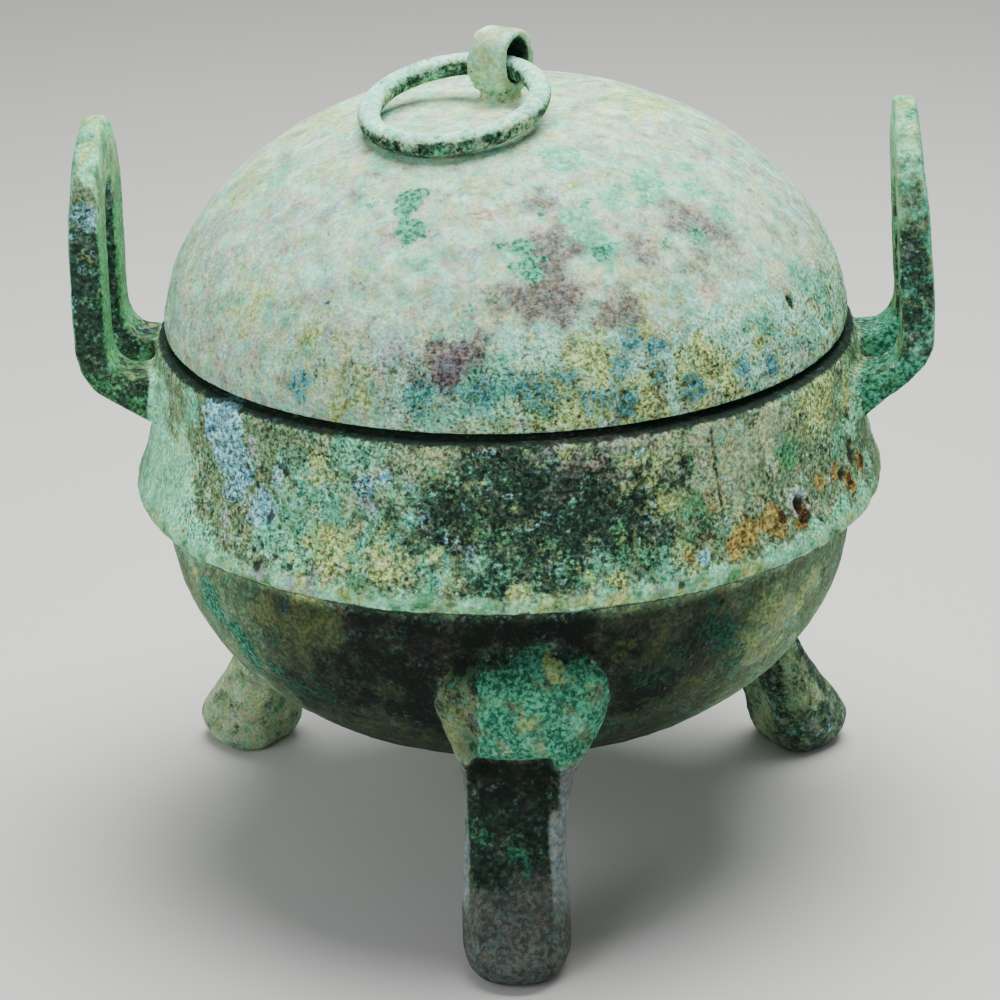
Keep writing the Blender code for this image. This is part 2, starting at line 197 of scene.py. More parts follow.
def bowlHollow():
    inner = bowl["bellyRadius"] - 3.0
    depth = bowl["bellyTop"] - bowl["bellyBottom"] - 3.0
    top = bowl["shoulderTop"] - bowl["ledge"]
    outline = [(0, bowl["lipTop"] + 5), (bowl["lipInner"], bowl["lipTop"] + 5),
               (bowl["lipInner"], top + 0.4), (bowl["lipInner"] + 1.4, top - 1.4),
               (wallRadius(107.5) - bowl["wall"] - 0.3, 107.5), (wallRadius(96) - bowl["wall"] - 1, 96)]
    for angle in sweepOf(0, math.pi / 2, 14):
        across, along = rounded(angle, bowl["bellyFullness"])
        outline.append((inner * across, bowl["bellyTop"] - depth * along))
    outline[-1] = (0, outline[-1][1])
    return outline


# the two upright ears: a plate with an arched head and a slot, on two short bent arms
ears = {
    "angles": (0.0, 180.0), "tops": (164.4, 161.7), "leans": (1.9, -0.2), "wears": (1.5, 0.0),
    "reach": 89.8, "thickness": 6.9, "halfWidth": 19.0, "archRise": 22.7,
    "slotHalf": 6.0, "bridge": 13.5, "slotRise": 8.0,
    "bend": 112.0, "root": 72.2, "armTop": 110.3, "armFoot": 100.5,
}


def earSide(top, lean, wear):
    reach, inner, bend = ears["reach"], ears["reach"] - ears["thickness"], ears["bend"]
    return [
        (ears["root"], ears["armFoot"] - 1.0), (bowl["shoulderRadius"] + 1.4, ears["armFoot"] + 0.3),
        (reach - 9.4 - 0.4 * wear, ears["armFoot"] + 3.3 + 0.6 * wear),
        (reach - 4.2 - wear, bend - 5.0 + 0.6 * wear), (reach - 1.2 - 0.7 * wear, bend - 0.9 + 0.4 * wear),
        (reach - 0.2, bend + 3.5), (reach, bend + 12.0), (reach - 0.4 - 0.6 * lean, top - 20.0),
        (reach - 1.2 - 0.9 * lean, top - 8.0), (reach - 2.0 - lean, top + 2.0),
        (inner + 0.3 - lean, top + 2.0), (inner - 0.7 * lean, top - 14.0), (inner, bend + 4.0),
        (inner - 0.9, bend + 0.8), (inner - 3.2, ears["armTop"] + 0.2), (ears["root"], ears["armTop"] - 0.2),
    ]


def archOutline(half, bottom, top, rise, count):
    points = [(-half, bottom)]
    points += [(half * math.cos(a), top - rise + rise * math.sin(a)) for a in sweepOf(math.pi, 0, count)]
    return points + [(half, bottom)]


def makeEar(angle, top, lean, wear):
    reach = 1.5 * ears["halfWidth"]
    ear = prism("ear", [(-x, z) for x, z in earSide(top, lean, wear)], -reach, reach)
    ear.data.transform(Matrix.Rotation(math.radians(90), 4, "Z"))
    head = prism("head", archOutline(ears["halfWidth"], 80, top, ears["archRise"], 33), 60, 100)
    slot = prism("slot", archOutline(ears["slotHalf"], 80, top - ears["bridge"], ears["slotRise"], 21),
                 wallRadius(106) + 0.2, 110)
    combine(ear, head, "INTERSECT")
    combine(ear, slot, "DIFFERENCE")
    return turn(ear, angle)


# the three legs: a bulging knee, a recessed shaft and a hoof; angles are taken from +X
legs = {
    "angles": (-87.8, 32.0, 147.0), "toes": (84.5, 86.5, 87.5), "kneeShifts": (2.0, 0.0, 0.0),
    "hoofHalf": 11.3, "shaftHalf": 10.6, "kneeHalf": 17.6, "kneeReach": 78.8, "shaftReach": 70.0,
    "kneeBottom": 48.5, "kneeTop": 75.5, "backRadius": 67.0, "backLean": 0.22, "backNarrow": 0.64,
    "sector": 22,
}


def legStations(toe):
    hoof, shaft, knee = legs["hoofHalf"], legs["shaftHalf"], legs["kneeHalf"]
    bottom, reach, front = legs["kneeBottom"], legs["kneeReach"], legs["shaftReach"]
    return [
        (0.0, hoof - 3.2, toe - 5.0), (1.5, hoof - 1.4, toe - 2.2), (4.0, hoof - 0.3, toe - 0.4),
        (6.5, hoof, toe), (11.0, hoof, toe - 2.8), (17.0, hoof - 0.3, toe - 7.2), (24.0, shaft, toe - 10.8),
        (32.0, shaft, front + 1.0), (40.0, shaft + 0.9, front), (bottom - 3.0, shaft + 2.6, front + 0.6),
        (bottom + 0.8, knee - 3.2, reach - 3.4), (bottom + 4.0, knee - 1.6, reach - 0.8),
        (bottom + 9.5, knee, reach), (bottom + 16.0, knee - 0.4, reach - 0.9),
        (bottom + 21.5, knee - 3.2, reach - 2.6), (legs["kneeTop"], knee - 9.0, reach - 5.6),
    ]


def legSection(z, half, front, shift, count=32):
    line = legs["backRadius"] - legs["backLean"] * z + 1.5 * max(0, 1 - z / 2.5)
    inWall = bellyRadius(z) - 1.5
    narrow = legs["backNarrow"] if line > inWall else 1.0
    aside = shift * min(max((z - 0.5 * legs["kneeBottom"]) / (0.6 * legs["kneeBottom"]), 0), 1)

    def back(across):
        return max(line, math.sqrt(max(inWall ** 2 - across ** 2, 0)))

    swell = 0.78 * (front - back(half + abs(aside)))
    points = []
    for angle in sweepOf(0, math.pi, count // 2 + 1):
        over, along = rounded(angle, 2.3)
        points.append((front - swell + swell * along, aside + half * over, z))
    for share in sweepOf(-1, 1, count // 2 - 1):
        across = aside + narrow * half * share
        points.append((back(across), across, z))
    return points


def makeLeg(angle, toe, shift):
    bm = bmesh.new()
    levels = [legSection(*station, shift) for station in legStations(toe)]
    rows = [[bm.verts.new(point) for point in level] for level in levels]
    edges = []
    for row in rows:
        loop = [bm.edges.new(pair) for pair in zip(row, row[1:] + row[:1])]
        edges.append(loop)
    for lower, upper in zip(edges, edges[1:]):
        bmesh.ops.bridge_loops(bm, edges=lower + upper)
    bmesh.ops.holes_fill(bm, edges=bm.edges)
    bmesh.ops.recalc_face_normals(bm, faces=bm.faces)
    return turn(toObject("leg", bm), angle)


print("vessel form")
vesselForms = [spun("bowl", bowlOutline())]
for earSet in zip(ears["angles"], ears["tops"], ears["leans"], ears["wears"]):
    vesselForms.append(makeEar(*earSet))
for legSet in zip(legs["angles"], legs["toes"], legs["kneeShifts"]):
    vesselForms.append(makeLeg(*legSet))
vesselSkin = skinned(joined("vesselSkin", vesselForms), bowl["skin"], 4)
print("vessel skin", len(vesselSkin.data.polygons))

# the lid: a dome with a strap lug on a short stem
lidSet = {
    "radius": 72.2, "rim": 117.4, "rise": 47.4, "fullRise": 50.5, "fullness": 1.97,
    "crown": 34.5, "flatness": 4.0, "wall": 2.7, "bore": 70.0, "seat": 122.2, "seatWidth": 2.4,
    "skin": 0.67,
    "lugAngle": -31.0, "lugWidth": 8.8, "lugTop": 180.2, "lugHalf": 5.8, "lugBottom": 167.5,
    "holeHalf": 3.8, "holeTop": 178.5, "holeBottom": 169.5, "stemHalf": 3.5, "footHalf": 5.2,
}


def domeHeight(radius, inset=0.0):
    full = lidSet["radius"] - inset
    rise = lidSet["fullRise"] - inset
    out = min(max(radius / full, 0), 1)
    height = lidSet["rim"] + rise * (1 - out ** lidSet["fullness"]) ** (1 / lidSet["fullness"])
    if radius >= lidSet["crown"]:
        return height
    top = lidSet["rim"] + lidSet["rise"] - inset
    edge = domeHeight(lidSet["crown"], inset)
    return top - (top - edge) * (radius / lidSet["crown"]) ** lidSet["flatness"]


def lidOutline():
    outline = [(lidSet["radius"] * math.sin(a), domeHeight(lidSet["radius"] * math.sin(a)))
               for a in sweepOf(0, math.radians(85), 60)]
    rim = lidSet["rim"]
    return outline + [(lidSet["radius"], rim + 4.5), (lidSet["radius"], rim + 0.5),
                      (lidSet["radius"] - 0.4, rim), (0, rim)]


def lidHollow():
    bore, seat = lidSet["bore"], lidSet["seat"]
    outline = [(0, lidSet["rim"] - 5), (bore, lidSet["rim"] - 5), (bore, seat),
               (bore - lidSet["seatWidth"], seat), (bore - lidSet["seatWidth"] - 0.4, seat + 3.6)]
    outline += [(r, domeHeight(r, lidSet["wall"])) for r in (65, 60, 54, 47, 39, 30, 20, 10, 0)]
    return outline


def makeLug():
    half = 0.5 * lidSet["lugWidth"]
    rise = lidSet["lugHalf"] + 0.6
    outline = []
    for angle in sweepOf(math.pi, 0, 25):
        across, along = rounded(angle, 2.5)
        outline.append((lidSet["lugHalf"] * across, lidSet["lugTop"] - rise + rise * along))
    bottom = lidSet["lugBottom"]
    outline += [(lidSet["lugHalf"], bottom + 3.2), (lidSet["stemHalf"] + 0.5, bottom),
                (-lidSet["stemHalf"] - 0.5, bottom), (-lidSet["lugHalf"], bottom + 3.2)]
    loop = prism("loop", outline, -half, half)
    middle = 0.5 * (lidSet["holeTop"] + lidSet["holeBottom"])
    tall = 0.5 * (lidSet["holeTop"] - lidSet["holeBottom"])
    hole = []
    for i in range(32):
        across, along = rounded(math.tau * i / 32, 2.6)
        hole.append((lidSet["holeHalf"] * across, middle + tall * along))
    combine(loop, prism("hole", hole, -3 * half, 3 * half), "DIFFERENCE")
    top = lidSet["rim"] + lidSet["rise"]
    levels = ((top - 1.4, lidSet["footHalf"] + 0.3), (top - 0.2, lidSet["footHalf"]),
              (top + 0.7, lidSet["stemHalf"] + 0.3), (bottom + 1.0, lidSet["stemHalf"]))
    bm = bmesh.new()
    rows = []
    for z, size in levels:
        points = [rounded(math.tau * (i + 0.5) / 24, 3.0) for i in range(24)]
        row = [bm.verts.new((size * x, size * y, z)) for x, y in points]
        rows.append([bm.edges.new(pair) for pair in zip(row, row[1:] + row[:1])])
    for lower, upper in zip(rows, rows[1:]):
        bmesh.ops.bridge_loops(bm, edges=lower + upper)
    bmesh.ops.holes_fill(bm, edges=bm.edges)
    bmesh.ops.recalc_face_normals(bm, faces=bm.faces)
    foot = toObject("foot", bm)
    return [turn(loop, lidSet["lugAngle"]), turn(foot, lidSet["lugAngle"])]


print("lid form")
lidSkin = skinned(joined("lidSkin", [spun("dome", lidOutline())] + makeLug()), lidSet["skin"], 3)
print("lid skin", len(lidSkin.data.polygons))


# relief and patina are worked out at every point of a skin, in millimetres about the axis
def smoothStep(values, low, high):
    share = np.clip((values - low) / (high - low), 0, 1)
    return share * share * (3 - 2 * share)


def cloud(points, size, octaves=3, seed=0.0):
    return np.array([noise.fractal(p, 1.0, 2.0, octaves) for p in (points / size + seed).tolist()])


def pitted(points, size, share, seed=0.0):  # round pits, one in some of the cells of a foam
    depths = []
    for p in (points / size + seed).tolist():
        away, centres = noise.voronoi(p)
        draw = 0.5 + 0.5 * noise.cell(centres[0] * 9.7)
        radius = 0.2 + 0.35 * (0.5 + 0.5 * noise.cell(centres[0] * 23.3))
        depths.append(max(0.0, 1 - away[0] / radius) if draw < share else 0.0)
    return np.array(depths)


def reachAt(z):  # radius of the vessel or lid at a height
    if z >= lidSet["rim"]:
        low, high = 0.0, lidSet["radius"]
        for _ in range(24):
            middle = 0.5 * (low + high)
            low, high = (middle, high) if domeHeight(middle) > z else (low, middle)
        return low
    if z > bowl["flangeTop"]:
        return wallRadius(z)
    return bowl["flangeRadius"] if z > 80 else bellyRadius(z)


def spotAt(angle, z):
    out = reachAt(z)
    return np.array((out * math.cos(math.radians(angle)), out * math.sin(math.radians(angle)), z))


def spotted(points, spots, ragged):  # patches given as angle, height, reach and strength
    mask = np.zeros(len(points))
    for angle, z, reach, strength in spots:
        away = np.linalg.norm(points - spotAt(angle, z), axis=1) / reach
        mask = np.maximum(mask, strength * smoothStep(1.35 - away + ragged, 0.0, 0.9))
    return mask


def skinPoints(made):
    mesh = made.data
    points = np.empty(len(mesh.vertices) * 3)
    mesh.vertices.foreach_get("co", points)
    normals = np.empty(len(mesh.vertices) * 3)
    mesh.vertex_normals.foreach_get("vector", normals)
    return points.reshape(-1, 3), normals.reshape(-1, 3)


def reshape(made, points):
    made.data.vertices.foreach_set("co", points.ravel())
    made.data.update()


def keepMask(made, name, values):
    layer = made.data.attributes.new(name, "FLOAT", "POINT")
    layer.data.foreach_set("value", values.astype(np.float32))


mottle = {"size": 3.6, "octaves": 3, "seed": 3.1, "seedStep": 7.3, "breaking": 0.45}


def keepPatina(made, points, masks, ambient, breaking):  # patches, plus a thin scatter outside the dark
    clear = 1 - np.clip(masks["dark"], 0, 1)
    for i, (name, mask) in enumerate(masks.items()):
        own = cloud(points, mottle["size"], mottle["octaves"], mottle["seed"] + mottle["seedStep"] * i)
        scatter = ambient.get(name, 0.0) * (1 if name == "dark" else clear)
        broken = breaking.get(name, mottle["breaking"]) * own
        keepMask(made, name, np.clip(mask, 0, 1) * (1 - scatter) + scatter + broken)


# patches of each pigment: angle from +X, height, reach and strength
vesselPatina = {
    "mint": [(-152, 96, 11, 1.0), (-152, 86, 11, 1.0), (-164, 100, 12, 1.0), (-166, 88, 12, 1.0),
        (-141, 86, 5.1, 0.9), (-135, 84, 4.1, 0.9), (-121, 93, 6.2, 0.6), (-112, 85, 3.6, 0.7),
        (-123, 86, 3.6, 0.5), (-119, 102, 5.1, 0.4), (-116, 115, 5.6, 0.4), (-46, 85, 3.1, 0.9),
        (-36, 86, 3.6, 1.0), (-29, 86, 3.6, 1.0), (-56, 85, 2.8, 0.9), (-64, 85, 2.3, 0.8),
        (-18, 86, 4.1, 0.9), (-11, 90, 3.6, 0.8), (-16, 103, 8, 0.9), (-104, 85, 2.6, 0.6),
        (-93, 85, 2.1, 0.6), (-80, 85, 2.1, 0.6), (-72, 85, 2.1, 0.7), (-127, 93, 5.1, 0.7),
        (30, 98, 12, 0.7), (120, 92, 12, 0.8), (75, 86, 9, 0.6), (160, 88, 12, 0.8), (5, 92, 9, 0.5)],
    "yellow": [(-153, 102, 6.2, 0.3), (-147, 96, 6.2, 0.25), (-118, 109, 4.6, 0.5), (-115, 92, 6.2, 0.8),
        (-107, 92, 6.2, 0.6), (-120, 87, 4.1, 0.5), (-86, 86, 3.1, 0.5), (-76, 88, 2.1, 0.7),
        (-72, 88, 2.1, 0.9), (-51, 90, 3.1, 0.9), (-29, 110, 7.7, 0.8), (-18, 108, 5.1, 0.8),
        (-112, 85, 2.6, 0.7), (-104, 90, 4.6, 0.5), (-80, 117, 7.7, 0.3), (-67, 109, 5.6, 0.4),
        (-64, 100, 5.6, 0.4), (-60, 89, 4.1, 0.5), (-96, 87, 4.1, 0.4), (-134, 104, 2.6, 0.3),
        (-152, 73, 2.1, 0.9), (-131, 72, 5.6, 0.8), (-121, 74, 6.7, 0.7), (-126, 68, 5.1, 0.6),
        (-118, 71, 5.1, 0.4), (-41, 72, 5.6, 0.5), (-28, 72, 3.1, 0.6), (-32, 68, 4.1, 0.6),
        (-45, 62, 4.1, 0.6), (-36, 60, 3.6, 0.6), (-63, 72, 4.6, 0.5), (-59, 81, 5.1, 0.4),
        (-70, 70, 4.1, 0.5), (-54, 57, 4.1, 0.5), (25, 88, 8, 0.6), (90, 86, 8, 0.6), (150, 86, 8, 0.6),
        (60, 62, 9, 0.4)],
    "khaki": [(-51, 106, 6.7, 0.9), (-53, 113, 7.7, 0.8), (-42, 110, 6.2, 0.7), (-64, 116, 10.3, 0.5),
        (-79, 117, 10.3, 0.5), (-92, 117, 10.3, 0.4), (-57, 104, 5.1, 0.6), (-49, 100, 4.6, 0.6),
        (-67, 114, 6.2, 0.5), (-113, 100, 6.2, 0.5), (-107, 108, 5.6, 0.4), (-101, 113, 5.6, 0.4),
        (-36, 66, 5.6, 0.9), (-28, 71, 3.6, 1.0), (-41, 61, 5.1, 0.8), (-52, 54, 5.6, 0.5),
        (-58, 52, 4.1, 0.5), (-60, 74, 4.6, 0.5), (-50, 76, 4.6, 0.5), (-122, 67, 5.1, 0.4),
        (60, 106, 12, 0.7), (100, 100, 9, 0.5), (15, 66, 10, 0.6), (110, 66, 12, 0.5)],
    "turquoise": [(-118, 101, 9, 0.55), (-110, 95, 8, 0.5), (-126, 94, 6, 0.5), (-99, 91, 6.2, 0.5),
        (-98, 85, 2.6, 0.7), (-104, 104, 6.2, 0.4), (-112, 115, 6.7, 0.5), (-123, 107, 4.6, 0.3),
        (-38, 103, 3.1, 0.8), (-22, 100, 3.6, 0.6), (-25, 98, 2.6, 0.7), (-26, 87, 2.3, 0.8),
        (-92, 109, 5.6, 0.3), (-74, 90, 5.6, 0.35), (-64, 88, 4.6, 0.4), (-148, 112, 4.6, 0.6),
        (-92, 91, 5.1, 0.4), (-132, 111, 3.6, 0.4), (80, 104, 7, 0.5), (165, 104, 9, 0.5)],
    "green": [(-38, 103, 3.3, 0.9), (-12, 99, 3.6, 0.9), (-40, 107, 3.1, 0.6), (-99, 86, 3.1, 0.5),
        (-110, 87, 3.1, 0.3), (-92, 97, 6.7, 0.3), (-82, 93, 6.7, 0.3), (-71, 95, 6.2, 0.3),
        (-59, 97, 4.6, 0.4), (-121, 99, 3.6, 0.3), (48, 100, 8, 0.5), (120, 104, 8, 0.5)],
    "azurite": [(-140, 112, 5.4, 0.8), (-136, 106, 5.8, 0.8), (-134, 101, 5.8, 0.8), (-129, 98, 4.6, 0.7),
        (-138, 115, 4.4, 0.8), (-128, 99, 2.3, 0.6), (-110, 106, 3.1, 0.5), (-125, 105, 2.6, 0.5),
        (-116, 105, 2.1, 0.4), (-101, 101, 2.6, 0.3), (-58, 89, 1.5, 0.8), (-107, 110, 3.1, 0.3),
        (-67, 112, 2.1, 0.3), (-129, 98, 2.1, 0.5), (132, 106, 5, 0.5), (136, 100, 5, 0.5),
        (141, 95, 4, 0.45)],
    "lilac": [(-131, 110, 2.3, 0.7), (-136, 93, 2.1, 0.7), (-127, 85, 2.3, 0.6), (-122, 85, 2.3, 0.6),
        (-118, 84, 2.3, 0.5), (-109, 102, 3.1, 0.3), (-82, 117, 5.1, 0.3), (-70, 116, 5.1, 0.3)],
    "ochre": [(-44, 92, 3.6, 1.0), (-38, 91, 3.1, 1.0), (-49, 91, 3.6, 0.9), (-31, 95, 2.6, 0.8),
        (-26, 95, 2.6, 0.7), (-22, 91, 2.3, 0.9), (-16, 92, 2.6, 1.0), (-52, 89, 3.1, 0.7),
        (-58, 92, 2.6, 0.4), (-55, 100, 3.1, 0.4), (-60, 90, 2.1, 0.5), (-18, 98, 3.1, 0.5),
        (-67, 115, 2.6, 0.25), (-112, 97, 3.6, 0.25), (-102, 115, 3.1, 0.25), (45, 90, 4, 0.7),
        (53, 92, 4, 0.5), (110, 88, 5, 0.5)],
    "rust": [(-38, 91, 1.8, 1.0), (-42, 92, 1.5, 0.8), (-16, 92, 1.5, 1.0), (-22, 91, 1.3, 0.9),
        (-36, 93, 1, 0.8), (-55, 112, 1.3, 0.6), (-113, 99, 2.1, 0.3), (-101, 96, 2.6, 0.3),
        (46, 89, 1.5, 0.6), (52, 92, 1.3, 0.5)],
    "dark": [(-86, 107, 15.4, 0.9), (-80, 102, 15.4, 1.0), (-71, 101, 11.3, 0.9), (-95, 101, 10.3, 0.8),
        (-68, 95, 7.7, 0.7), (-92, 111, 7.7, 0.6), (-64, 102, 6.2, 0.5), (-99, 96, 6.2, 0.6),
        (-80, 93, 11.3, 0.7), (-89, 93, 8.7, 0.6), (-104, 100, 5.1, 0.4), (-60, 107, 3.6, 0.5),
        (-124, 107, 2.3, 0.6), (-120, 110, 2.3, 0.5), (-110, 106, 2.6, 0.6), (-58, 94, 4.1, 0.4),
        (-104, 72, 15.4, 0.9), (-90, 80, 12.8, 1.0), (-100, 59, 12.8, 0.9), (-80, 74, 10.3, 0.9),
        (-70, 72, 6.7, 0.6), (-116, 61, 10.3, 0.6), (-129, 54, 7.7, 0.4), (-66, 59, 8.7, 0.7),
        (-58, 69, 5.1, 0.4), (-106, 81, 7.7, 0.8), (90, 98, 14, 0.7), (140, 98, 10, 0.5), (90, 58, 24, 0.8),
        (170, 52, 14, 0.6), (20, 48, 16, 0.6), (50, 92, 8, 0.5)],
    "malachite": [(-147, 70, 4.6, 0.9), (-140, 63, 4.6, 1.0), (-139, 58, 4.1, 0.9), (-132, 56, 5.1, 0.6),
        (-123, 55, 5.1, 0.5), (-53, 70, 6.2, 0.6), (-65, 62, 4.6, 0.6), (-60, 67, 4.1, 0.4),
        (-47, 61, 4.1, 0.4), (-146, 67, 3.6, 0.7), (-131, 66, 3.1, 0.4), (-124, 54, 5.1, 0.4),
        (-137, 73, 3.6, 0.3), (70, 66, 7, 0.5), (140, 60, 9, 0.5), (35, 56, 8, 0.4), (100, 106, 5, 0.6)],
    "brown": [(-63, 71, 5.1, 0.5), (-56, 63, 2.6, 0.5), (-116, 76, 5.1, 0.4), (-109, 73, 4.1, 0.3),
        (-67, 76, 4.1, 0.4), (-74, 75, 3.1, 0.3), (-100, 72, 5.1, 0.4), (-73, 118, 12.8, 0.4),
        (95, 70, 9, 0.4), (150, 72, 8, 0.4)],
}
vesselAmbient = {"khaki": 0.2, "dark": 0.22, "mint": 0.12, "yellow": 0.06, "turquoise": 0.16, "green": 0.12,
                 "brown": 0.1, "malachite": 0.06, "lilac": 0.03}
vesselBreaking = {"dark": 0.35, "azurite": 0.5, "ochre": 0.3, "rust": 0.2, "ash": 0.15, "mint": 0.4}


# patches on the legs: place across the leg, height, reach and strength
kneePatina = {
    "turquoise": [(13, 58, 4, 0.45), (-3, 62, 3, 0.4), (3, 51, 3, 0.3)],
    "khaki": [(0, 55, 3, 0.3)], "yellow": [(3, 59, 2.5, 0.45)], "green": [(6, 62, 4, 0.6)],
}
kneeSpots = [(8.5, 68.5, 3.5, 0.9), (14.5, 66, 3.5, 0.9)]
shaftPatina = {
    "malachite": [(-7, 30, 3, 0.4), (0, 25, 4, 0.45), (7, 42, 4, 0.35)],
    "green": [(0, 25, 4, 0.3), (3.5, 12, 2.5, 0.5)], "khaki": [(5, 33, 4, 0.35)],
}


def layOver(masks, name, amount, where):  # a pigment's new value inside a region
    masks[name] = masks[name] * (1 - where) + where * np.clip(amount, 0, 1)


def axesAt(vectors, angle):  # each one's part outward in a direction seen from above, and across it
    turned = np.radians(angle)
    outward = vectors[:, 0] * np.cos(turned) + vectors[:, 1] * np.sin(turned)
    return outward, vectors[:, 1] * np.cos(turned) - vectors[:, 0] * np.sin(turned)


def legPatch(across, z, wobble, spot):
    aside, height, size, strength = spot
    return strength * smoothStep(1.3 - np.hypot(across - aside, z - height) / size + 0.5 * wobble, 0.0, 0.8)


def legPatches(patches, across, z, wobble):
    return {name: sum(legPatch(across, z, wobble, spot) for spot in spots) for name, spots in patches.items()}


def legMasks(points, masks, onLegs):  # the legs' patina: malachite knees, black shafts, ashen hoofs, with painted shade darkening the knee tops and painted highlight on the shafts' edge strips
    z = points[:, 2]
    for angle in legs["angles"]:
        outward, across = axesAt(points, angle)
        here = onLegs * (outward > 0) * (np.abs(across) < legs["sector"])
        knee = here * smoothStep(z, legs["kneeBottom"] - 2.0, legs["kneeBottom"] + 0.5)
        shaft = here * (1 - knee)
        wobble = cloud(points, 5.0, 3, 31.0 + angle)
        for name in masks:
            masks[name] = masks[name] * (1 - here)
        rear = float(angle > 0)
        lobe = smoothStep(-across - 6.8 + 1.5 * wobble, -1.0, 1.5)
        onKnee = legPatches(kneePatina, across, z, wobble)
        freckles = np.maximum(*[legPatch(across, z, wobble, spot) for spot in kneeSpots])
        layOver(masks, "malachite", 0.65 + 0.35 * wobble - 0.6 * lobe - 0.45 * smoothStep(z, 67, 73), knee)
        layOver(masks, "turquoise", 0.1 + onKnee["turquoise"], knee)
        # painted shade: the knee darkens towards its top, where it meets the shaded belly
        layOver(masks, "dark", 0.45 + 0.5 * smoothStep(z, 65, 71) - 0.4 * smoothStep(-z, -64, -52), knee)
        layOver(masks, "khaki", 0.8 * lobe * smoothStep(z, 44, 50) + onKnee["khaki"], knee)
        layOver(masks, "yellow", np.maximum(freckles, onKnee["yellow"] + 0.2 * lobe), knee)
        layOver(masks, "green", 0.1 + onKnee["green"] + 0.3 * lobe * (z > 66), knee)
        onShaft = legPatches(shaftPatina, across, z, wobble)
        side = (0 < angle < 90) * smoothStep(np.abs(across), 3, 7)
        black = (1.0 - smoothStep(-z, -27, -12)) * (1 - 0.45 * rear) + 0.15
        layOver(masks, "dark", black + 0.4 * side, shaft)
        layOver(masks, "brown", 0.3 * smoothStep(z, 38, 46), shaft)
        layOver(masks, "malachite", onShaft["malachite"], shaft)
        layOver(masks, "green", onShaft["green"], shaft)
        layOver(masks, "khaki", onShaft["khaki"] + (rear - 0.75 * side) * (0.65 + 0.4 * wobble), shaft)
        # painted highlight: pale lilac strips, with less dark, along the shafts' raised edges where they
        # catch the light
        rightStrip = smoothStep(across, 6.8, 8.2) * (1 - smoothStep(z, 30, 38))
        rim = np.maximum(rightStrip, smoothStep(np.abs(across), 9.0, 9.8))
        rim *= smoothStep(z, 8, 18) * (1 - smoothStep(z, 42, 50))
        ash = smoothStep(0.35 * across + 3 * wobble - z, -27, -15)
        layOver(masks, "ash", 0.95 * ash * (1 - 0.75 * rear) * (1 - 0.8 * rim), shaft)
        layOver(masks, "lilac", 0.9 * rim * (1 - rear) + 0.15 * smoothStep(-z, -16, -3), shaft)
        masks["dark"] *= 1 - 0.85 * rim * shaft


def earMasks(points, normals, masks, onEars):  # dark edges, green faces and pale heads, with painted shade on the arms and on the slot's inner faces
    x, y, z = points.T
    wobble = cloud(points, 6.0, 3, 17.0)
    edge = smoothStep(np.abs(normals[:, 1]), 0.55, 0.85)
    inward = smoothStep(-normals[:, 0] * np.sign(x), 0.4, 0.8)
    low = 1 - smoothStep(z, 111, 116)
    topside = low * smoothStep(normals[:, 2], 0.3, 0.8)
    head = smoothStep(z + 4 * wobble, 151, 159)
    deep = smoothStep(-z, -150, -136)
    left, right = x < 0, x > 0
    for name in ("ochre", "rust", "lilac", "ash"):
        layOver(masks, name, np.zeros_like(z), onEars)
    # painted shade: the arms, their tops and the slot's inner faces are darkened where shade falls
    dark = edge * (0.4 + 0.6 * deep) * (1 - head) * (1 - 0.2 * right) + 0.5 * (1 - edge) * inward * deep
    layOver(masks, "dark", dark + 0.6 * low + 0.3 * topside, onEars)
    band = np.exp(-((z - 146) / 4.0) ** 2)
    layOver(masks, "azurite", 0.34 * edge * left * (y < 0) * band, onEars)
    outer = (1 - inward) * (1 - edge) * 0.75 * (1 - low)
    layOver(masks, "turquoise", outer + 0.1 * (1 - low) + 0.15 * edge * right, onEars)
    khaki = 0.45 * head + 0.6 * inward * smoothStep(normals[:, 2], 0.3, 0.8) + 0.4 * inward * (1 - head)
    layOver(masks, "khaki", khaki, onEars)
    yellow = 0.45 * head * smoothStep(normals[:, 2], 0.1, 0.8) + 0.35 * inward * (z > 112) * (0.4 + wobble)
    layOver(masks, "yellow", yellow + 0.3 * topside, onEars)
    layOver(masks, "mint", np.maximum(0.9 * head, 0.7 * low * (z < 106) * (np.abs(x) < 75)), onEars)
    green = (0.45 * inward * left * deep + 0.3) * (1 - edge) * (1 - topside) + 0.4 * low
    layOver(masks, "green", green, onEars)
    layOver(masks, "malachite", 0.6 * low * right + 0.12, onEars)
    layOver(masks, "brown", 0.8 * low * (np.abs(y) < 7.5) * (1 - edge) * smoothStep(z, 100, 104), onEars)


# the vessel's crust: clouds as size, octaves and seed, pits as size, share and seed
crustSet = {
    "clouds": ((14, 3, 0.0), (4.2, 3, 5.1), (1.8, 2, 9.4)), "pits": ((1.9, 0.5, 3.7), (4.4, 0.4, 8.2)),
    "pitDepths": (0.4, 0.85), "grainDepth": 0.4, "ochreDepth": 0.5,
}
crack = {"angle": -53.6, "lean": 0.06, "middle": 100, "wander": 0.35, "width": 0.3, "low": 96, "high": 114.5}
crater = {"angle": -38, "height": 93, "rimRadius": 2.6, "rimWidth": 0.9, "rimRise": 0.7, "pitRadius": 1.5}
gouges = ((-128, 86, 1.3), (-62, 85, 1.0), (-19, 95, 2.2), (-24, 93, 1.3))  # angle, height, radius


def vesselRegions(points):  # which points belong to the legs and to the ears
    x, y, z = points.T
    reach = np.hypot(x, y)
    belly = np.interp(z, *zip(*[(level, bellyRadius(level)) for level in sweepOf(0, 80, 81)]))
    wall = np.interp(z, *zip(*[(level, wallRadius(level)) for level in sweepOf(85, 116, 63)]))
    onLegs = smoothStep(reach - belly, 0.5, 1.3) * (z < 79) * ((z > 30) | (reach > 40))
    onEars = np.clip(smoothStep(reach - wall, 1.0, 3.0) * (z > 98) + (z > 117.5) * (reach > 75), 0, 1)
    return onLegs, onEars * (np.abs(x) > 60)


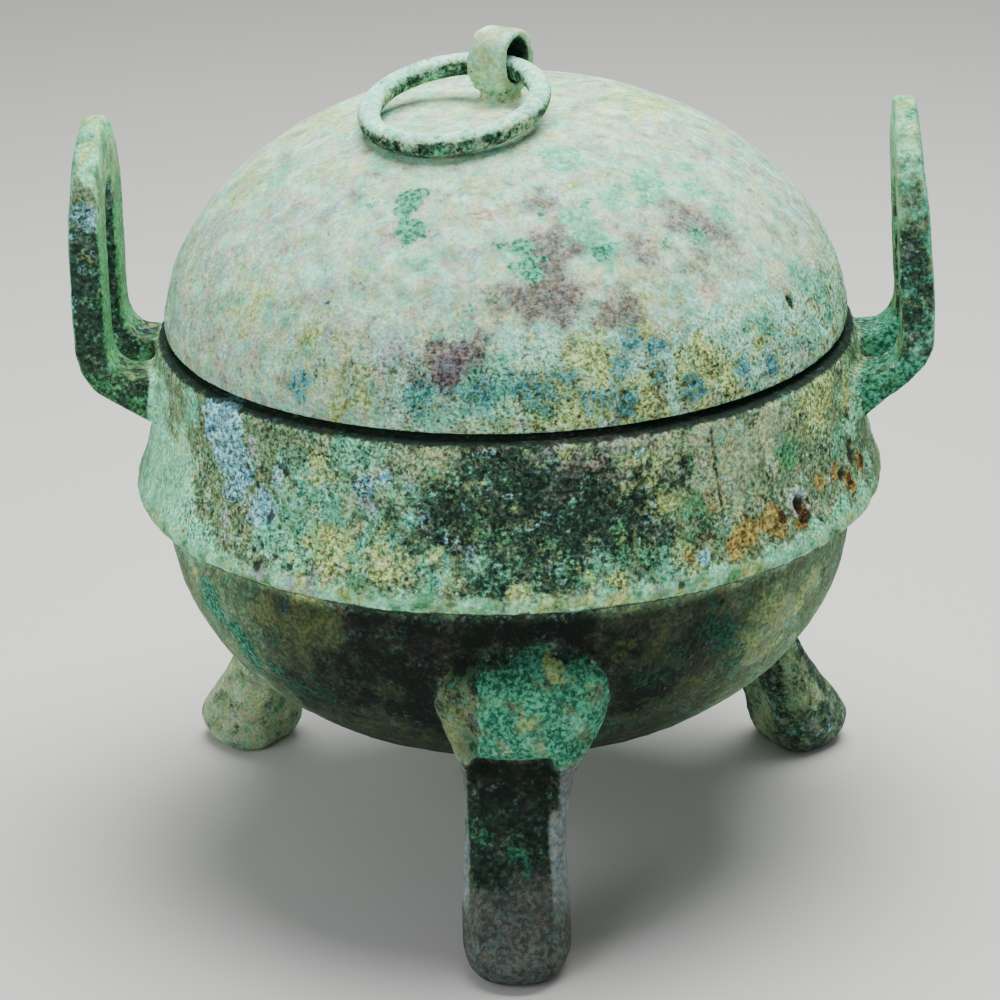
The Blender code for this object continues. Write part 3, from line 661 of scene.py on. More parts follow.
def wallMarks(points, angle, reach, fine):  # the crack, the crater's rim and pit, and the gouges
    z = points[:, 2]
    line = angle - crack["angle"] + crack["lean"] * (z - crack["middle"]) + crack["wander"] * fine
    slit = 0.7 * np.exp(-(line / crack["width"]) ** 2)
    slit *= (z > crack["low"]) & (z < crack["high"]) & (reach < 77)
    away = np.linalg.norm(points - spotAt(crater["angle"], crater["height"]), axis=1)
    rimmed = np.exp(-((away - crater["rimRadius"]) / crater["rimWidth"]) ** 2)
    pit = np.exp(-(away / crater["pitRadius"]) ** 2)
    gouged = np.zeros(len(points))
    for spotAngle, height, radius in gouges:
        away = np.linalg.norm(points - spotAt(spotAngle, height), axis=1)
        gouged = np.maximum(gouged, np.exp(-(away / radius) ** 2))
    return slit, rimmed, pit, gouged


def legRelief(points, normals, onLegs, middle):  # how far leg points move along their normal and outward
    z = points[:, 2]
    push, slide = np.zeros(len(points)), np.zeros_like(points)
    for angle in legs["angles"]:
        outward, across = axesAt(points, angle)
        facing = axesAt(normals, angle)[0]
        aside = np.abs(across)
        ahead = onLegs * (outward > 40) * (aside < legs["sector"])
        channel = ahead * smoothStep(facing, 0.2, 0.6) * (1 - smoothStep(aside, 6.6, 8.8))
        push -= 1.2 * channel * smoothStep(z, 14, 30) * (1 - smoothStep(z, 46.5, 48.5))
        push -= 1.4 * ahead * smoothStep(z, 63, 73)
        push += 0.35 * middle * ahead * smoothStep(z, 48, 52)
        ridge = ahead * smoothStep(facing, 0.0, 0.5) * smoothStep(aside, 7.4, 9.4) * (z < 56)
        amount = ridge * 5.5 * smoothStep(z, 33, 48) * (1 - smoothStep(z, 48.5, 53))
        slide += amount[:, None] * np.array((np.cos(np.radians(angle)), np.sin(np.radians(angle)), 0))
        if angle == legs["angles"][0]:  # the front knee's middle block stands above its two lobes
            block = smoothStep(across + 0.8 * middle, -7.6, -6.0)
            high = smoothStep(z, 48.5, 50.5) * (1 - smoothStep(z, 66, 73))
            push += ahead * smoothStep(facing, 0.1, 0.6) * high * (1.6 * block - 0.9)
    return push, slide


def paintedShadeOn(points, normals, onLegs, onEars, middle):  # painted shade on the belly, on the front leg's knee and below it, and on the tops of the ear arms
    z = points[:, 2]
    aside = np.abs((np.degrees(np.arctan2(points[:, 1], points[:, 0])) + 90.0 + 180.0) % 360.0 - 180.0)
    paintedShade = smoothStep(-z, -81, -77) * (0.76 - 0.48 * smoothStep(aside, 34, 60)) * (1 - onLegs)
    outward, across = axesAt(points, legs["angles"][0])
    front = onLegs * (outward > 40) * (np.abs(across) < legs["sector"])
    lobe = 1 - smoothStep(across + 0.8 * middle, -7.6, -6.0)
    paintedShade += front * (0.26 + 0.3 * smoothStep(z, 64, 71) + 0.3 * lobe * smoothStep(z, 48, 51))
    shaft = 0.28 + 0.2 * smoothStep(z, 30, 42) - 0.12 * (np.abs(across) > 7.5)
    paintedShade += front * smoothStep(-z, -48, -44) * shaft
    return paintedShade + 0.42 * onEars * smoothStep(-z, -116, -111) * smoothStep(normals[:, 2], 0.1, 0.6)


def vesselRelief(made):
    points, normals = skinPoints(made)
    x, y, z = points.T
    reach = np.hypot(x, y)
    angle = np.degrees(np.arctan2(y, x))
    broad, middle, fine = [cloud(points, *setting) for setting in crustSet["clouds"]]
    ragged = 0.35 * broad + 0.3 * middle
    masks = {name: spotted(points, spots, ragged) for name, spots in vesselPatina.items()}
    masks["ash"] = np.zeros(len(points))
    onLegs, onEars = vesselRegions(points)
    legMasks(points, masks, onLegs)
    earMasks(points, normals, masks, onEars)

    # painted shade: the ledge under the lid's rim and the flange's underside are darkened where shade falls
    ledge = smoothStep(normals[:, 2], 0.5, 0.9) * (reach < 75) * (z > 112)
    seat = np.maximum(ledge, (z > 115.5) * (reach < 71)) * (1 - onEars)
    under = smoothStep(-normals[:, 2], 0.3, 0.8) * (z > 77) * (z < 84)
    shade = np.maximum(seat, 0.8 * under)
    for name in ("mint", "yellow", "khaki", "turquoise", "green", "ochre", "lilac"):
        masks[name] *= 1 - 0.9 * shade
    masks["dark"] = np.maximum(masks["dark"], shade)
    masks["azurite"] *= 1.15

    # the crust is rough on the wall, and calm at its far left and where it is khaki
    calm = np.maximum(smoothStep(-angle, 143, 150) * (angle < 0), smoothStep(masks["khaki"], 0.3, 0.8))
    onWall = smoothStep(z, 84, 88) * (1 - onEars)
    crust = np.clip(masks["mint"] + masks["azurite"] + 0.7 * masks["turquoise"] + 0.6 * masks["yellow"], 0, 1)
    crust = crust * onWall * (1 - 0.75 * calm)
    rough = np.clip(0.3 + 0.7 * onWall * (1 - 0.7 * calm) - 0.1 * onEars, 0, 1)
    small, large = [pitted(points, *setting) for setting in crustSet["pits"]]

    # the flange's lip is worn mint, and its pale band is partly a painted highlight along the lip
    lip = smoothStep(z, 80.5, 82) * (1 - smoothStep(z, 84.5, 87.5)) * (reach > 77) * (1 - under)
    masks["mint"] = np.maximum(masks["mint"], lip * (0.56 + 0.6 * middle + 0.6 * broad))
    masks["yellow"] = np.maximum(masks["yellow"], lip * (0.35 - 0.6 * broad))
    masks["green"] = np.maximum(masks["green"], lip * (0.16 - 0.7 * middle))
    masks["dark"] *= 1 - 0.85 * lip

    broken = np.clip(crust + masks["ochre"], 0, 1)
    holes = crustSet["pitDepths"][0] * small * rough + crustSet["pitDepths"][1] * large * broken
    holes = holes * (1 - 0.7 * lip)
    push = 0.2 * broad + (0.05 + 0.2 * rough) * middle + (0.03 + 0.08 * rough) * fine
    push += crustSet["grainDepth"] * crust * smoothStep(middle + 0.5 * fine, -0.15, 0.45)
    push += crustSet["ochreDepth"] * masks["ochre"] * smoothStep(middle, -0.1, 0.4)
    push += lip * (0.3 * cloud(points, 10, 2, 2.2) + 0.1 * middle) - 0.15 * lip
    slit, rimmed, pit, gouged = wallMarks(points, angle, reach, fine)
    push += crater["rimRise"] * rimmed - 0.9 * pit - 0.9 * gouged - 0.5 * slit - holes
    masks["lilac"] = np.maximum(masks["lilac"], 0.9 * rimmed)
    masks["ochre"] = masks["ochre"] * (1 - rimmed)
    broken = np.clip(crust + masks["ochre"], 0, 1)
    hollow = 1.1 * small * rough + 1.2 * large * broken + slit + gouged + 1.2 * pit
    push -= 0.25 * under
    legPush, slide = legRelief(points, normals, onLegs, middle)
    push = (push + legPush) * smoothStep(z, -0.3, 3.0) * (1 - 0.8 * (z > 115.0) * (reach < 75))
    moved = points + normals * push[:, None] + slide
    moved[:, 2] = np.maximum(moved[:, 2], 0.0)
    farthest = cadBounds[1][0] / mm - 0.1  # the relief stays inside the solids' box
    moved[:, 0] = np.clip(moved[:, 0], -farthest, farthest)
    reshape(made, moved)

    keepPatina(made, points, masks, vesselAmbient, vesselBreaking)
    # painted shade: this mask darkens the belly, the front leg and the ear arms where shade falls
    keepMask(made, "paintedShade", paintedShadeOn(points, normals, onLegs, onEars, middle))
    # the hollow mask darkens the pits, crack, crater and gouges, and also carries painted shade on the ledge
    # and under the flange
    keepMask(made, "hollow", np.clip(hollow + 0.6 * shade, 0, 1))
    keepMask(made, "grain", np.clip(0.35 + 0.65 * onWall * (1 - 0.6 * calm) - 0.1 * onLegs, 0, 1))


lidPatina = {
    "cream": [(164, 159, 15.4, 0.8), (-172, 156, 10.3, 0.4), (4, 165, 15.4, 0.9), (-10, 163, 12.8, 0.8),
        (-115, 165, 15.4, 0.9), (-22, 140, 5.6, 0.6), (-30, 134, 4.6, 0.9), (-57, 134, 6.7, 0.5),
        (-130, 139, 8.7, 0.5), (-138, 131, 7.7, 0.4), (-64, 161, 7.7, 0.4), (-143, 158, 10.3, 0.5),
        (-106, 147, 5.6, 0.6), (-49, 132, 6.7, 0.5), (100, 158, 20, 0.6), (45, 150, 14, 0.5),
        (150, 140, 14, 0.4)],
    "yellow": [(8, 163, 10, 0.5), (176, 160, 9, 0.45), (-166, 150, 7, 0.35), (-64, 136, 3.6, 0.7),
        (-74, 131, 6.7, 0.7), (-55, 125, 6.7, 0.7), (-79, 124, 7.7, 0.6), (-66, 122, 6.7, 0.6),
        (-120, 131, 7.7, 0.45), (-113, 124, 6.2, 0.5), (-138, 136, 6.2, 0.3), (-54, 130, 4.1, 0.5),
        (-41, 128, 4.1, 0.4), (70, 124, 9, 0.5), (125, 122, 8, 0.5), (20, 124, 7, 0.4)],
    "lilac": [(-160, 145, 8.7, 0.8), (-154, 140, 6.7, 0.8), (-142, 150, 10.3, 0.6), (-113, 152, 6.7, 0.5),
        (-125, 142, 5.6, 0.6), (-107, 133, 6.7, 0.7), (-99, 147, 6.7, 0.7), (-9, 158, 11.3, 0.6),
        (-9, 146, 9.2, 0.6), (-77, 157, 6.2, 0.7), (-64, 159, 5.6, 0.6), (-58, 149, 5.6, 0.6),
        (-44, 152, 6.7, 0.6), (-63, 140, 6.7, 0.5), (-8, 153, 10.3, 0.5), (-86, 128, 6.2, 0.6),
        (-52, 162, 6.2, 0.4), (-128, 155, 7.2, 0.5), (-117, 135, 4.6, 0.4), (20, 150, 14, 0.6),
        (120, 146, 14, 0.6), (170, 136, 12, 0.5), (75, 135, 12, 0.4)],
    "pink": [(-39, 141, 5.6, 0.7), (-44, 151, 5.6, 0.7), (-66, 141, 5.1, 0.6), (-59, 149, 4.6, 0.6),
        (-92, 155, 5.1, 0.6), (-75, 151, 5.6, 0.6), (-49, 138, 4.6, 0.5), (-58, 144, 5.1, 0.4),
        (-109, 149, 4.1, 0.3), (-6, 138, 5.6, 0.3), (-66, 152, 5.1, 0.3), (-142, 153, 7.7, 0.3)],
    "khaki": [(-62, 143, 6.2, 0.7), (-72, 133, 6.2, 0.4), (-57, 139, 5.1, 0.5), (-125, 136, 6.7, 0.4),
        (-142, 137, 6.7, 0.3), (-85, 137, 5.1, 0.3), (-71, 127, 6.2, 0.4)],
    "cyan": [(-40, 134, 7.7, 0.8), (-52, 131, 6.7, 0.8), (-46, 129, 6.2, 0.8), (-65, 132, 4.6, 0.5),
        (-33, 127, 5.1, 0.7), (-68, 136, 3.6, 0.4), (-106, 148, 5.1, 0.5), (-99, 144, 4.1, 0.4),
        (-74, 136, 5.1, 0.4), (-125, 144, 3.6, 0.3), (-85, 135, 6.2, 0.5), (-78, 137, 5.1, 0.5),
        (10, 130, 9, 0.5), (118, 135, 9, 0.5)],
    "turquoise": [(-70, 153, 4.6, 1.0), (-66, 162, 4.1, 0.8), (-46, 157, 4.6, 0.9), (-36, 154, 4.1, 0.8),
        (-25, 134, 4.6, 0.6), (-38, 130, 4.1, 0.6), (-69, 150, 4.1, 1.0), (-67, 148, 4.1, 1.0),
        (-58, 156, 4.1, 0.7), (-49, 156, 4.6, 0.6), (-44, 148, 3.1, 0.8), (-35, 149, 3.1, 0.7),
        (-66, 161, 4.6, 0.6), (-158, 155, 5.6, 0.4), (-92, 128, 9.2, 0.6), (-106, 146, 3.6, 0.4),
        (-84, 127, 7.7, 0.5), (-98, 124, 6.7, 0.5), (-19, 130, 4.6, 0.7), (-19, 125, 3.6, 0.6),
        (-26, 124, 3.6, 0.6), (-33, 158, 4.1, 0.3), (60, 140, 8, 0.7), (135, 128, 9, 0.6),
        (90, 126, 9, 0.5)],
    "brown": [(-45, 151, 5.6, 0.6), (-39, 147, 5.1, 0.7), (-48, 144, 4.6, 0.6), (-59, 148, 4.1, 0.6),
        (-76, 150, 5.1, 0.8), (-78, 142, 6.7, 0.95), (-83, 142, 5.1, 0.9), (-97, 131, 5.1, 1.0),
        (-93, 134, 4.1, 0.8), (-79, 147, 4.6, 0.7), (-67, 139, 5.1, 0.7), (-71, 139, 4.1, 0.6),
        (-88, 143, 4.1, 0.6), (-77, 157, 3.6, 0.5), (-101, 129, 3.1, 0.5), (-59, 148, 2.6, 0.4),
        (-92, 155, 2.3, 0.5), (82, 146, 7, 0.7), (35, 140, 6, 0.6), (150, 130, 6, 0.6)],
    "malachite": [(-112, 156, 3.8, 0.8), (-108, 152, 3.1, 0.75), (-83, 147, 3.6, 0.8), (-84, 150, 3.1, 0.6),
        (-68, 148, 3.1, 0.6), (-44, 148, 1.8, 0.6), (-66, 155, 2.6, 0.5), (-121, 155, 2.1, 0.4),
        (-79, 155, 2.1, 0.5), (-53, 148, 1.8, 0.5), (-88, 151, 2.1, 0.4), (-92, 142, 2.6, 0.3),
        (-54, 154, 2.1, 0.4), (66, 139, 3, 0.6), (60, 135, 2.5, 0.6), (132, 127, 4, 0.6),
        (28, 130, 3.5, 0.6), (105, 150, 5, 0.6)],
    "teal": [(-66, 134, 3.1, 0.58), (-62, 132, 2.6, 0.58), (-69, 129, 3.1, 0.62), (-77, 128, 3.6, 0.55),
        (-69, 123, 3.6, 0.62), (-57, 123, 3.6, 0.62), (-40, 123, 3.6, 0.55), (-46, 124, 3.1, 0.5),
        (-122, 124, 3.6, 0.62), (-82, 127, 5.1, 0.5), (-92, 126, 5.1, 0.5), (-101, 125, 5.1, 0.5),
        (-86, 128, 3.6, 0.5), (-62, 127, 3.1, 0.5), (-74, 123, 3.6, 0.5), (-114, 126, 3.1, 0.3),
        (-31, 124, 2.6, 0.4), (100, 124, 7, 0.55), (50, 122, 7, 0.5), (160, 124, 6, 0.5)],
    "cuprite": [(-97, 130, 2.8, 1.0), (-95, 133, 2.6, 0.8), (-77, 142, 2.6, 0.5), (-79, 148, 2.1, 0.4)],
    "dark": [(-79, 125, 10.3, 0.32), (-66, 124, 8.7, 0.36), (-92, 126, 8.7, 0.32), (-105, 127, 8.7, 0.32),
        (-115, 128, 9.2, 0.32), (-55, 125, 6.2, 0.32), (-120, 133, 6.2, 0.28), (-72, 131, 6.2, 0.32),
        (-108, 136, 5.1, 0.28), (-81, 142, 5.6, 0.28), (-120, 140, 4.1, 0.3), (-99, 137, 5.1, 0.2),
        (-46, 146, 4.6, 0.2), (90, 124, 16, 0.32), (40, 124, 12, 0.28), (140, 124, 12, 0.28)],
}
lidAmbient = {"cream": 0.36, "lilac": 0.32, "pink": 0.3, "khaki": 0.24, "cyan": 0.34, "yellow": 0.2,
              "turquoise": 0.26, "brown": 0.16, "malachite": 0.1}
lidBreaking = {"dark": 0.12, "teal": 0.12, "cuprite": 0.3, "malachite": 0.35}
lidChip = {"angle": -30.7, "height": 132.0, "slant": 0.45, "halfWidth": 0.8, "halfLength": 1.7, "depth": 1.3}


def lidRelief(made):
    points, normals = skinPoints(made)
    x, y, z = points.T
    angle = np.degrees(np.arctan2(y, x))
    broad, middle, fine = cloud(points, 13, 3, 1.3), cloud(points, 4.2, 3, 6.1), cloud(points, 1.5, 2, 2.4)
    ragged = 0.35 * broad + 0.35 * middle
    masks = {name: spotted(points, spots, ragged) for name, spots in lidPatina.items()}
    lug = (z > lidSet["rim"] + lidSet["rise"] + 0.6) * 1.0
    for name in masks:
        masks[name] = masks[name] * (1 - lug)
    masks["cream"] += lug * 0.55 * smoothStep(normals[:, 2] + 0.5 * middle, -0.4, 0.5)
    masks["khaki"] += lug * 0.75
    across = axesAt(points, lidSet["lugAngle"])[1]
    holeMiddle = 0.5 * (lidSet["holeTop"] + lidSet["holeBottom"])
    holeTall = lidSet["holeTop"] - lidSet["holeBottom"]
    oval = (across / lidSet["holeHalf"]) ** 2 + (2 * (z - holeMiddle) / holeTall) ** 2
    inHole = lug * (1 - smoothStep(oval, 1.05, 1.5))
    # painted shade inside the lug's hole and on the stem under the lug: both are darkened, with some
    # malachite in the hole
    masks["malachite"] += 0.5 * inHole
    masks["dark"] += 0.7 * inHole + 0.3 * lug * (z < 169)
    below = 1 - smoothStep(z, 119.5, 122.0)
    masks["lilac"] = np.maximum(masks["lilac"], 0.6 * below * smoothStep(broad, -0.2, 0.4))
    band = (1 - smoothStep(z + 3 * broad, 124, 140)) * smoothStep(x + 0.6 * y, -75, -45)
    masks["cyan"] += 0.38 * band * (1 - lug)
    masks["yellow"] += 0.25 * band * (1 - lug)
    grain = 0.18 + 0.8 * band + 0.35 * masks["brown"] + 0.25 * smoothStep(-z, -150, -130)
    grain = np.clip(grain, 0, 1) * (1 - 0.5 * lug)
    small = pitted(points, 1.7, 0.3, 4.7)
    push = 0.15 * broad + (0.04 + 0.12 * grain) * middle + (0.02 + 0.08 * grain) * fine
    push -= 0.32 * small * grain + 0.18 * masks["brown"] * smoothStep(middle, -0.2, 0.3)
    thick = np.clip(masks["malachite"] + masks["turquoise"], 0, 1)
    push += 0.12 * thick * smoothStep(middle + 0.4 * fine, -0.1, 0.4)

    # the chip near the rim, with a pale halo
    sideways = (angle - lidChip["angle"]) * math.radians(1) * reachAt(lidChip["height"])
    upright = z - lidChip["height"]
    along = sideways + lidChip["slant"] * upright
    upward = upright - lidChip["slant"] * sideways
    chip = np.exp(-(along / lidChip["halfWidth"]) ** 2 - (upward / lidChip["halfLength"]) ** 2) * (z < 140)
    halo = np.exp(-((along - 0.8) / 3.0) ** 2 - ((upward - 1.2) / 3.4) ** 2) * (z < 140)
    push += 0.35 * halo - lidChip["depth"] * chip
    masks["cream"] = np.maximum(masks["cream"], 1.2 * halo)
    push *= smoothStep(z, lidSet["rim"] - 0.2, lidSet["rim"] + 1.0)
    push = np.minimum(push, 0.3)
    moved = points + normals * push[:, None]
    moved[:, 2] = np.minimum(moved[:, 2], cadBounds[1][2] / mm - 0.05)
    reshape(made, moved)
    keepPatina(made, points, masks, lidAmbient, lidBreaking)
    keepMask(made, "paintedShade", np.zeros(len(points)))
    # the hollow mask also carries the painted shade in the lug's hole
    keepMask(made, "hollow", np.clip(1.1 * small * grain + 1.5 * chip + 0.7 * inHole, 0, 1))
    keepMask(made, "grain", grain)


print("relief")
vesselRelief(vesselSkin)
lidRelief(lidSkin)


def slab(name, low, high, size=120.0):  # a box across the whole vessel, used to part it
    bm = bmesh.new()
    bmesh.ops.create_cube(bm, size=1.0)
    bmesh.ops.scale(bm, verts=bm.verts, vec=(2 * size, 2 * size, high - low))
    bmesh.ops.translate(bm, verts=bm.verts, vec=(0, 0, 0.5 * (low + high)))
    return toObject(name, bm)


print("hollow the castings")
vesselLower = vesselSkin.copy()
vesselLower.data = vesselSkin.data.copy()
bpy.context.scene.collection.objects.link(vesselLower)
vesselUpper = vesselSkin
combine(vesselUpper, slab("above", bowl["splitHeight"], 200), "INTERSECT")
combine(vesselLower, slab("below", -5, bowl["splitHeight"]), "INTERSECT")
combine(vesselUpper, spun("hollowUpper", bowlHollow(), 96), "DIFFERENCE")
combine(vesselLower, spun("hollowLower", bowlHollow(), 96), "DIFFERENCE")
combine(lidSkin, spun("hollowLid", lidHollow(), 96), "DIFFERENCE")
lid = lidSkin
vesselUpper.name, vesselLower.name, lid.name = "vesselBody", "vesselBelly", "lidShell"


# the loose ring: wire turned about the ring's own middle, laid as the frame's ring lies
ringSet = {"wire": 4.7, "radius": 17.7, "turns": 200, "sides": 36}


def makeRing():
    corners = np.array([v.co for v in frame["nodes"]["ring"].data.vertices]) / mm
    low, high = corners.min(axis=0), corners.max(axis=0)
    joint = frame["joints"][0]
    pivot = Vector(joint["pos_m"]) / mm
    across = Vector(joint["axis"]).normalized()
    out = Vector(0.5 * (low + high)) - pivot
    out -= across * out.dot(across)
    out.normalize()
    lay = Matrix((out, across, out.cross(across))).transposed().to_4x4()
    bm = bmesh.new()
    bmesh.ops.create_circle(bm, segments=ringSet["sides"], radius=0.5 * ringSet["wire"])
    bmesh.ops.rotate(bm, verts=bm.verts, cent=(0, 0, 0), matrix=Matrix.Rotation(math.radians(90), 3, "X"))
    bmesh.ops.translate(bm, verts=bm.verts, vec=(ringSet["radius"], 0, 0))
    bmesh.ops.spin(bm, geom=bm.verts[:] + bm.edges[:], cent=(0, 0, 0), axis=(0, 0, 1), angle=math.tau,
                   steps=ringSet["turns"], use_merge=True)
    bmesh.ops.recalc_face_normals(bm, faces=bm.faces)
    bm.transform(Matrix.Translation(pivot + out * ringSet["radius"]) @ lay)
    made = toObject("looseRing", bm)
    points, normals = skinPoints(made)
    middle, fine = cloud(points, 5, 3, 7.7), cloud(points, 1.3, 2, 3.3)
    inLug = np.exp(-(np.linalg.norm(points - np.array(pivot), axis=1) / 6.0) ** 2)
    push = (0.10 * middle + 0.05 * fine) * (1 - inLug)
    reshape(made, points + normals * push[:, None])
    # painted highlight and shade: the wire's upper side is pale cyan and cream, its underside khaki,
    # malachite and dark
    upper = smoothStep(normals[:, 2] + 0.35 * normals[:, 1], -0.1, 0.6)
    under = 1 - upper
    masks = {"cyan": 0.75 * upper, "cream": 0.45 * upper, "khaki": 0.5 * under,
             "turquoise": np.full(len(points), 0.3), "malachite": 0.3 * under, "dark": 0.58 * under}
    keepPatina(made, points, masks, {}, {"dark": 0.3, "malachite": 0.5})
    keepMask(made, "paintedShade", np.zeros(len(points)))
    keepMask(made, "hollow", 0.5 * smoothStep(-fine, 0.25, 0.7))
    keepMask(made, "grain", 0.3 + 0.3 * under)
    return made


print("ring")
ring = makeRing()
ring.data.transform(Matrix.Scale(mm, 4))
for made in (vesselUpper, vesselLower, lid):
    place(made)
for made in (vesselUpper, vesselLower, lid, ring):
    made.data.shade_smooth()
    print(made.name, sum(len(p.vertices) - 2 for p in made.data.polygons), "triangles")


# patina: a node material whose layers are placed by the masks and broken up by noise
def paint(red, green, blue):  # a colour as seen on screen, from 0 to 255
    linear = [((c / 255 + 0.055) / 1.055) ** 2.4 if c > 10 else c / 255 / 12.92 for c in (red, green, blue)]
    return (*linear, 1)


# each pigment: its darker and lighter colour, how soft its edges are, and how much noise breaks them up
pigments = {
    "stone": (paint(142, 180, 150), paint(190, 220, 188), 0, 0),
    "olive": (paint(92, 116, 84), paint(134, 156, 114), 0, 0),
    "cream": (paint(190, 198, 150), paint(224, 228, 184), 0.7, 0.9),
    "lilac": (paint(142, 148, 150), paint(188, 190, 194), 0.7, 0.9),
    "pink": (paint(168, 152, 138), paint(206, 186, 170), 0.7, 1.0),
    "khaki": (paint(150, 166, 124), paint(196, 206, 164), 0.6, 1.0),
    "cyan": (paint(136, 206, 182), paint(190, 238, 222), 0.6, 1.0),
    "yellow": (paint(148, 168, 98), paint(192, 208, 138), 0.6, 1.3),
    "mint": (paint(124, 206, 160), paint(174, 238, 200), 0.6, 0.9),
    "turquoise": (paint(80, 160, 130), paint(138, 210, 176), 0.5, 1.2),
    "green": (paint(56, 116, 74), paint(104, 168, 114), 0.5, 1.2),
    "brown": (paint(96, 90, 82), paint(138, 134, 126), 0.8, 1.1),
    "malachite": (paint(30, 96, 74), paint(92, 172, 138), 0.4, 1.4),
    "azurite": (paint(86, 146, 166), paint(170, 218, 226), 0.5, 1.3),
    "teal": (paint(28, 84, 94), paint(92, 156, 160), 0.4, 2.4),
    "cuprite": (paint(78, 66, 70), paint(128, 118, 124), 0.4, 1.2),
    "ochre": (paint(118, 92, 42), paint(178, 156, 92), 0.5, 1.2),
    "rust": (paint(44, 30, 16), paint(90, 62, 30), 0.4, 1.0),
    "dark": (paint(20, 36, 30), paint(58, 82, 66), 0.5, 1.6),
    "ash": (paint(84, 87, 83), paint(124, 128, 123), 0.7, 0.7),
}


def patinaMaterial(name, base, layers):
    material = bpy.data.materials.new(name)
    material.use_nodes = True
    tree = material.node_tree
    shader = tree.nodes["Principled BSDF"]
    where = tree.nodes.new("ShaderNodeTexCoord").outputs["Object"]

    def clouds(size, detail, rough, seed):
        shift = tree.nodes.new("ShaderNodeMapping")
        shift.inputs["Location"].default_value = (seed, 0.7 * seed, -seed)
        tree.links.new(where, shift.inputs["Vector"])
        node = tree.nodes.new("ShaderNodeTexNoise")
        tree.links.new(shift.outputs["Vector"], node.inputs["Vector"])
        node.inputs["Scale"].default_value = 1 / (size * mm)
        node.inputs["Detail"].default_value = detail
        node.inputs["Roughness"].default_value = rough
        return node.outputs["Fac"]

    def maths(operation, *values):  # a number is set, and anything else is linked
        node = tree.nodes.new("ShaderNodeMath")
        node.operation = operation
        for socket, value in zip(node.inputs, values):
            if isinstance(value, float):
                socket.default_value = value
            else:
                tree.links.new(value, socket)
        return node.outputs[0]

    def ramp(value, low, high, start=0.0, end=1.0):
        node = tree.nodes.new("ShaderNodeMapRange")
        node.interpolation_type = "SMOOTHSTEP"
        tree.links.new(value, node.inputs["Value"])
        for socket, amount in zip(("From Min", "From Max", "To Min", "To Max"), (low, high, start, end)):
            node.inputs[socket].default_value = amount
        return node.outputs["Result"]

    def blend(factor, first, second):
        node = tree.nodes.new("ShaderNodeMix")
        node.data_type = "RGBA"
        tree.links.new(factor, node.inputs[0])
        for socket, colour in ((node.inputs[6], first), (node.inputs[7], second)):
            if isinstance(colour, tuple):
                socket.default_value = colour
            else:
                tree.links.new(colour, socket)
        return node.outputs[2]

    def masked(title):
        node = tree.nodes.new("ShaderNodeAttribute")
        node.attribute_name = title
        return node.outputs["Fac"]

    specks = [clouds(0.9, 2.0, 0.65, 0.2), clouds(1.1, 2.0, 0.65, 1.9), clouds(1.4, 3.0, 0.7, 3.3)]
    grit = clouds(0.55, 2.0, 0.6, 5.2)
    colour = blend(ramp(specks[2], 0.36, 0.64), *pigments[base][:2])
    for i, layer in enumerate(layers):
        darker, lighter, soft, broken = pigments[layer]
        speck = specks[i % 3]
        edge = 0.5 + 0.5 * broken
        scattered = maths("MULTIPLY_ADD", speck, broken, masked(layer))
        amount = ramp(scattered, edge - 0.5 * soft, edge + 0.5 * soft)
        colour = blend(amount, colour, blend(ramp(specks[(i + 1) % 3], 0.36, 0.64), darker, lighter))
    rough = masked("grain")
    both = maths("MULTIPLY_ADD", grit, 0.8, specks[0])
    spread = maths("MULTIPLY", ramp(both, 0.62, 1.18, -1.0, 1.0), rough)
    broadLight = ramp(clouds(6.5, 4.0, 0.7, 7.7), 0.32, 0.68, 0.84, 1.2)
    light = maths("MULTIPLY_ADD", spread, 0.8, broadLight)
    # painted shade: the belly, front leg and ear-arm mask scales the colour down here
    paintedShading = maths("MULTIPLY", light, ramp(masked("paintedShade"), 0.0, 1.0, 1.0, 0.0))
    drift = ramp(clouds(2.4, 4.0, 0.75, 6.1), 0.36, 0.64)
    tinted = tree.nodes.new("ShaderNodeVectorMath")
    tinted.operation = "MULTIPLY"
    tree.links.new(colour, tinted.inputs[0])
    tree.links.new(blend(drift, (1.06, 1.02, 0.9, 1), (0.76, 1.07, 1.1, 1)), tinted.inputs[1])
    grained = tree.nodes.new("ShaderNodeVectorMath")
    grained.operation = "SCALE"
    tree.links.new(tinted.outputs[0], grained.inputs[0])
    tree.links.new(paintedShading, grained.inputs["Scale"])
    # the hollow mask darkens pits and cracks, and also lays painted shade on the vessel's ledge and flange
    # underside and in the lid lug's hole
    colour = blend(ramp(masked("hollow"), 0.12, 0.7, 0.0, 0.88), grained.outputs[0], paint(22, 34, 28))
    tree.links.new(colour, shader.inputs["Base Color"])
    tree.links.new(ramp(specks[2], 0.3, 0.7, 0.7, 0.95), shader.inputs["Roughness"])
    shader.inputs["Specular IOR Level"].default_value = 0.2
    bump = tree.nodes.new("ShaderNodeBump")
    bump.inputs["Distance"].default_value = 0.3 * mm
    tree.links.new(ramp(rough, 0.0, 1.0, 0.2, 0.8), bump.inputs["Strength"])
    tree.links.new(both, bump.inputs["Height"])
    tree.links.new(bump.outputs["Normal"], shader.inputs["Normal"])
    return material


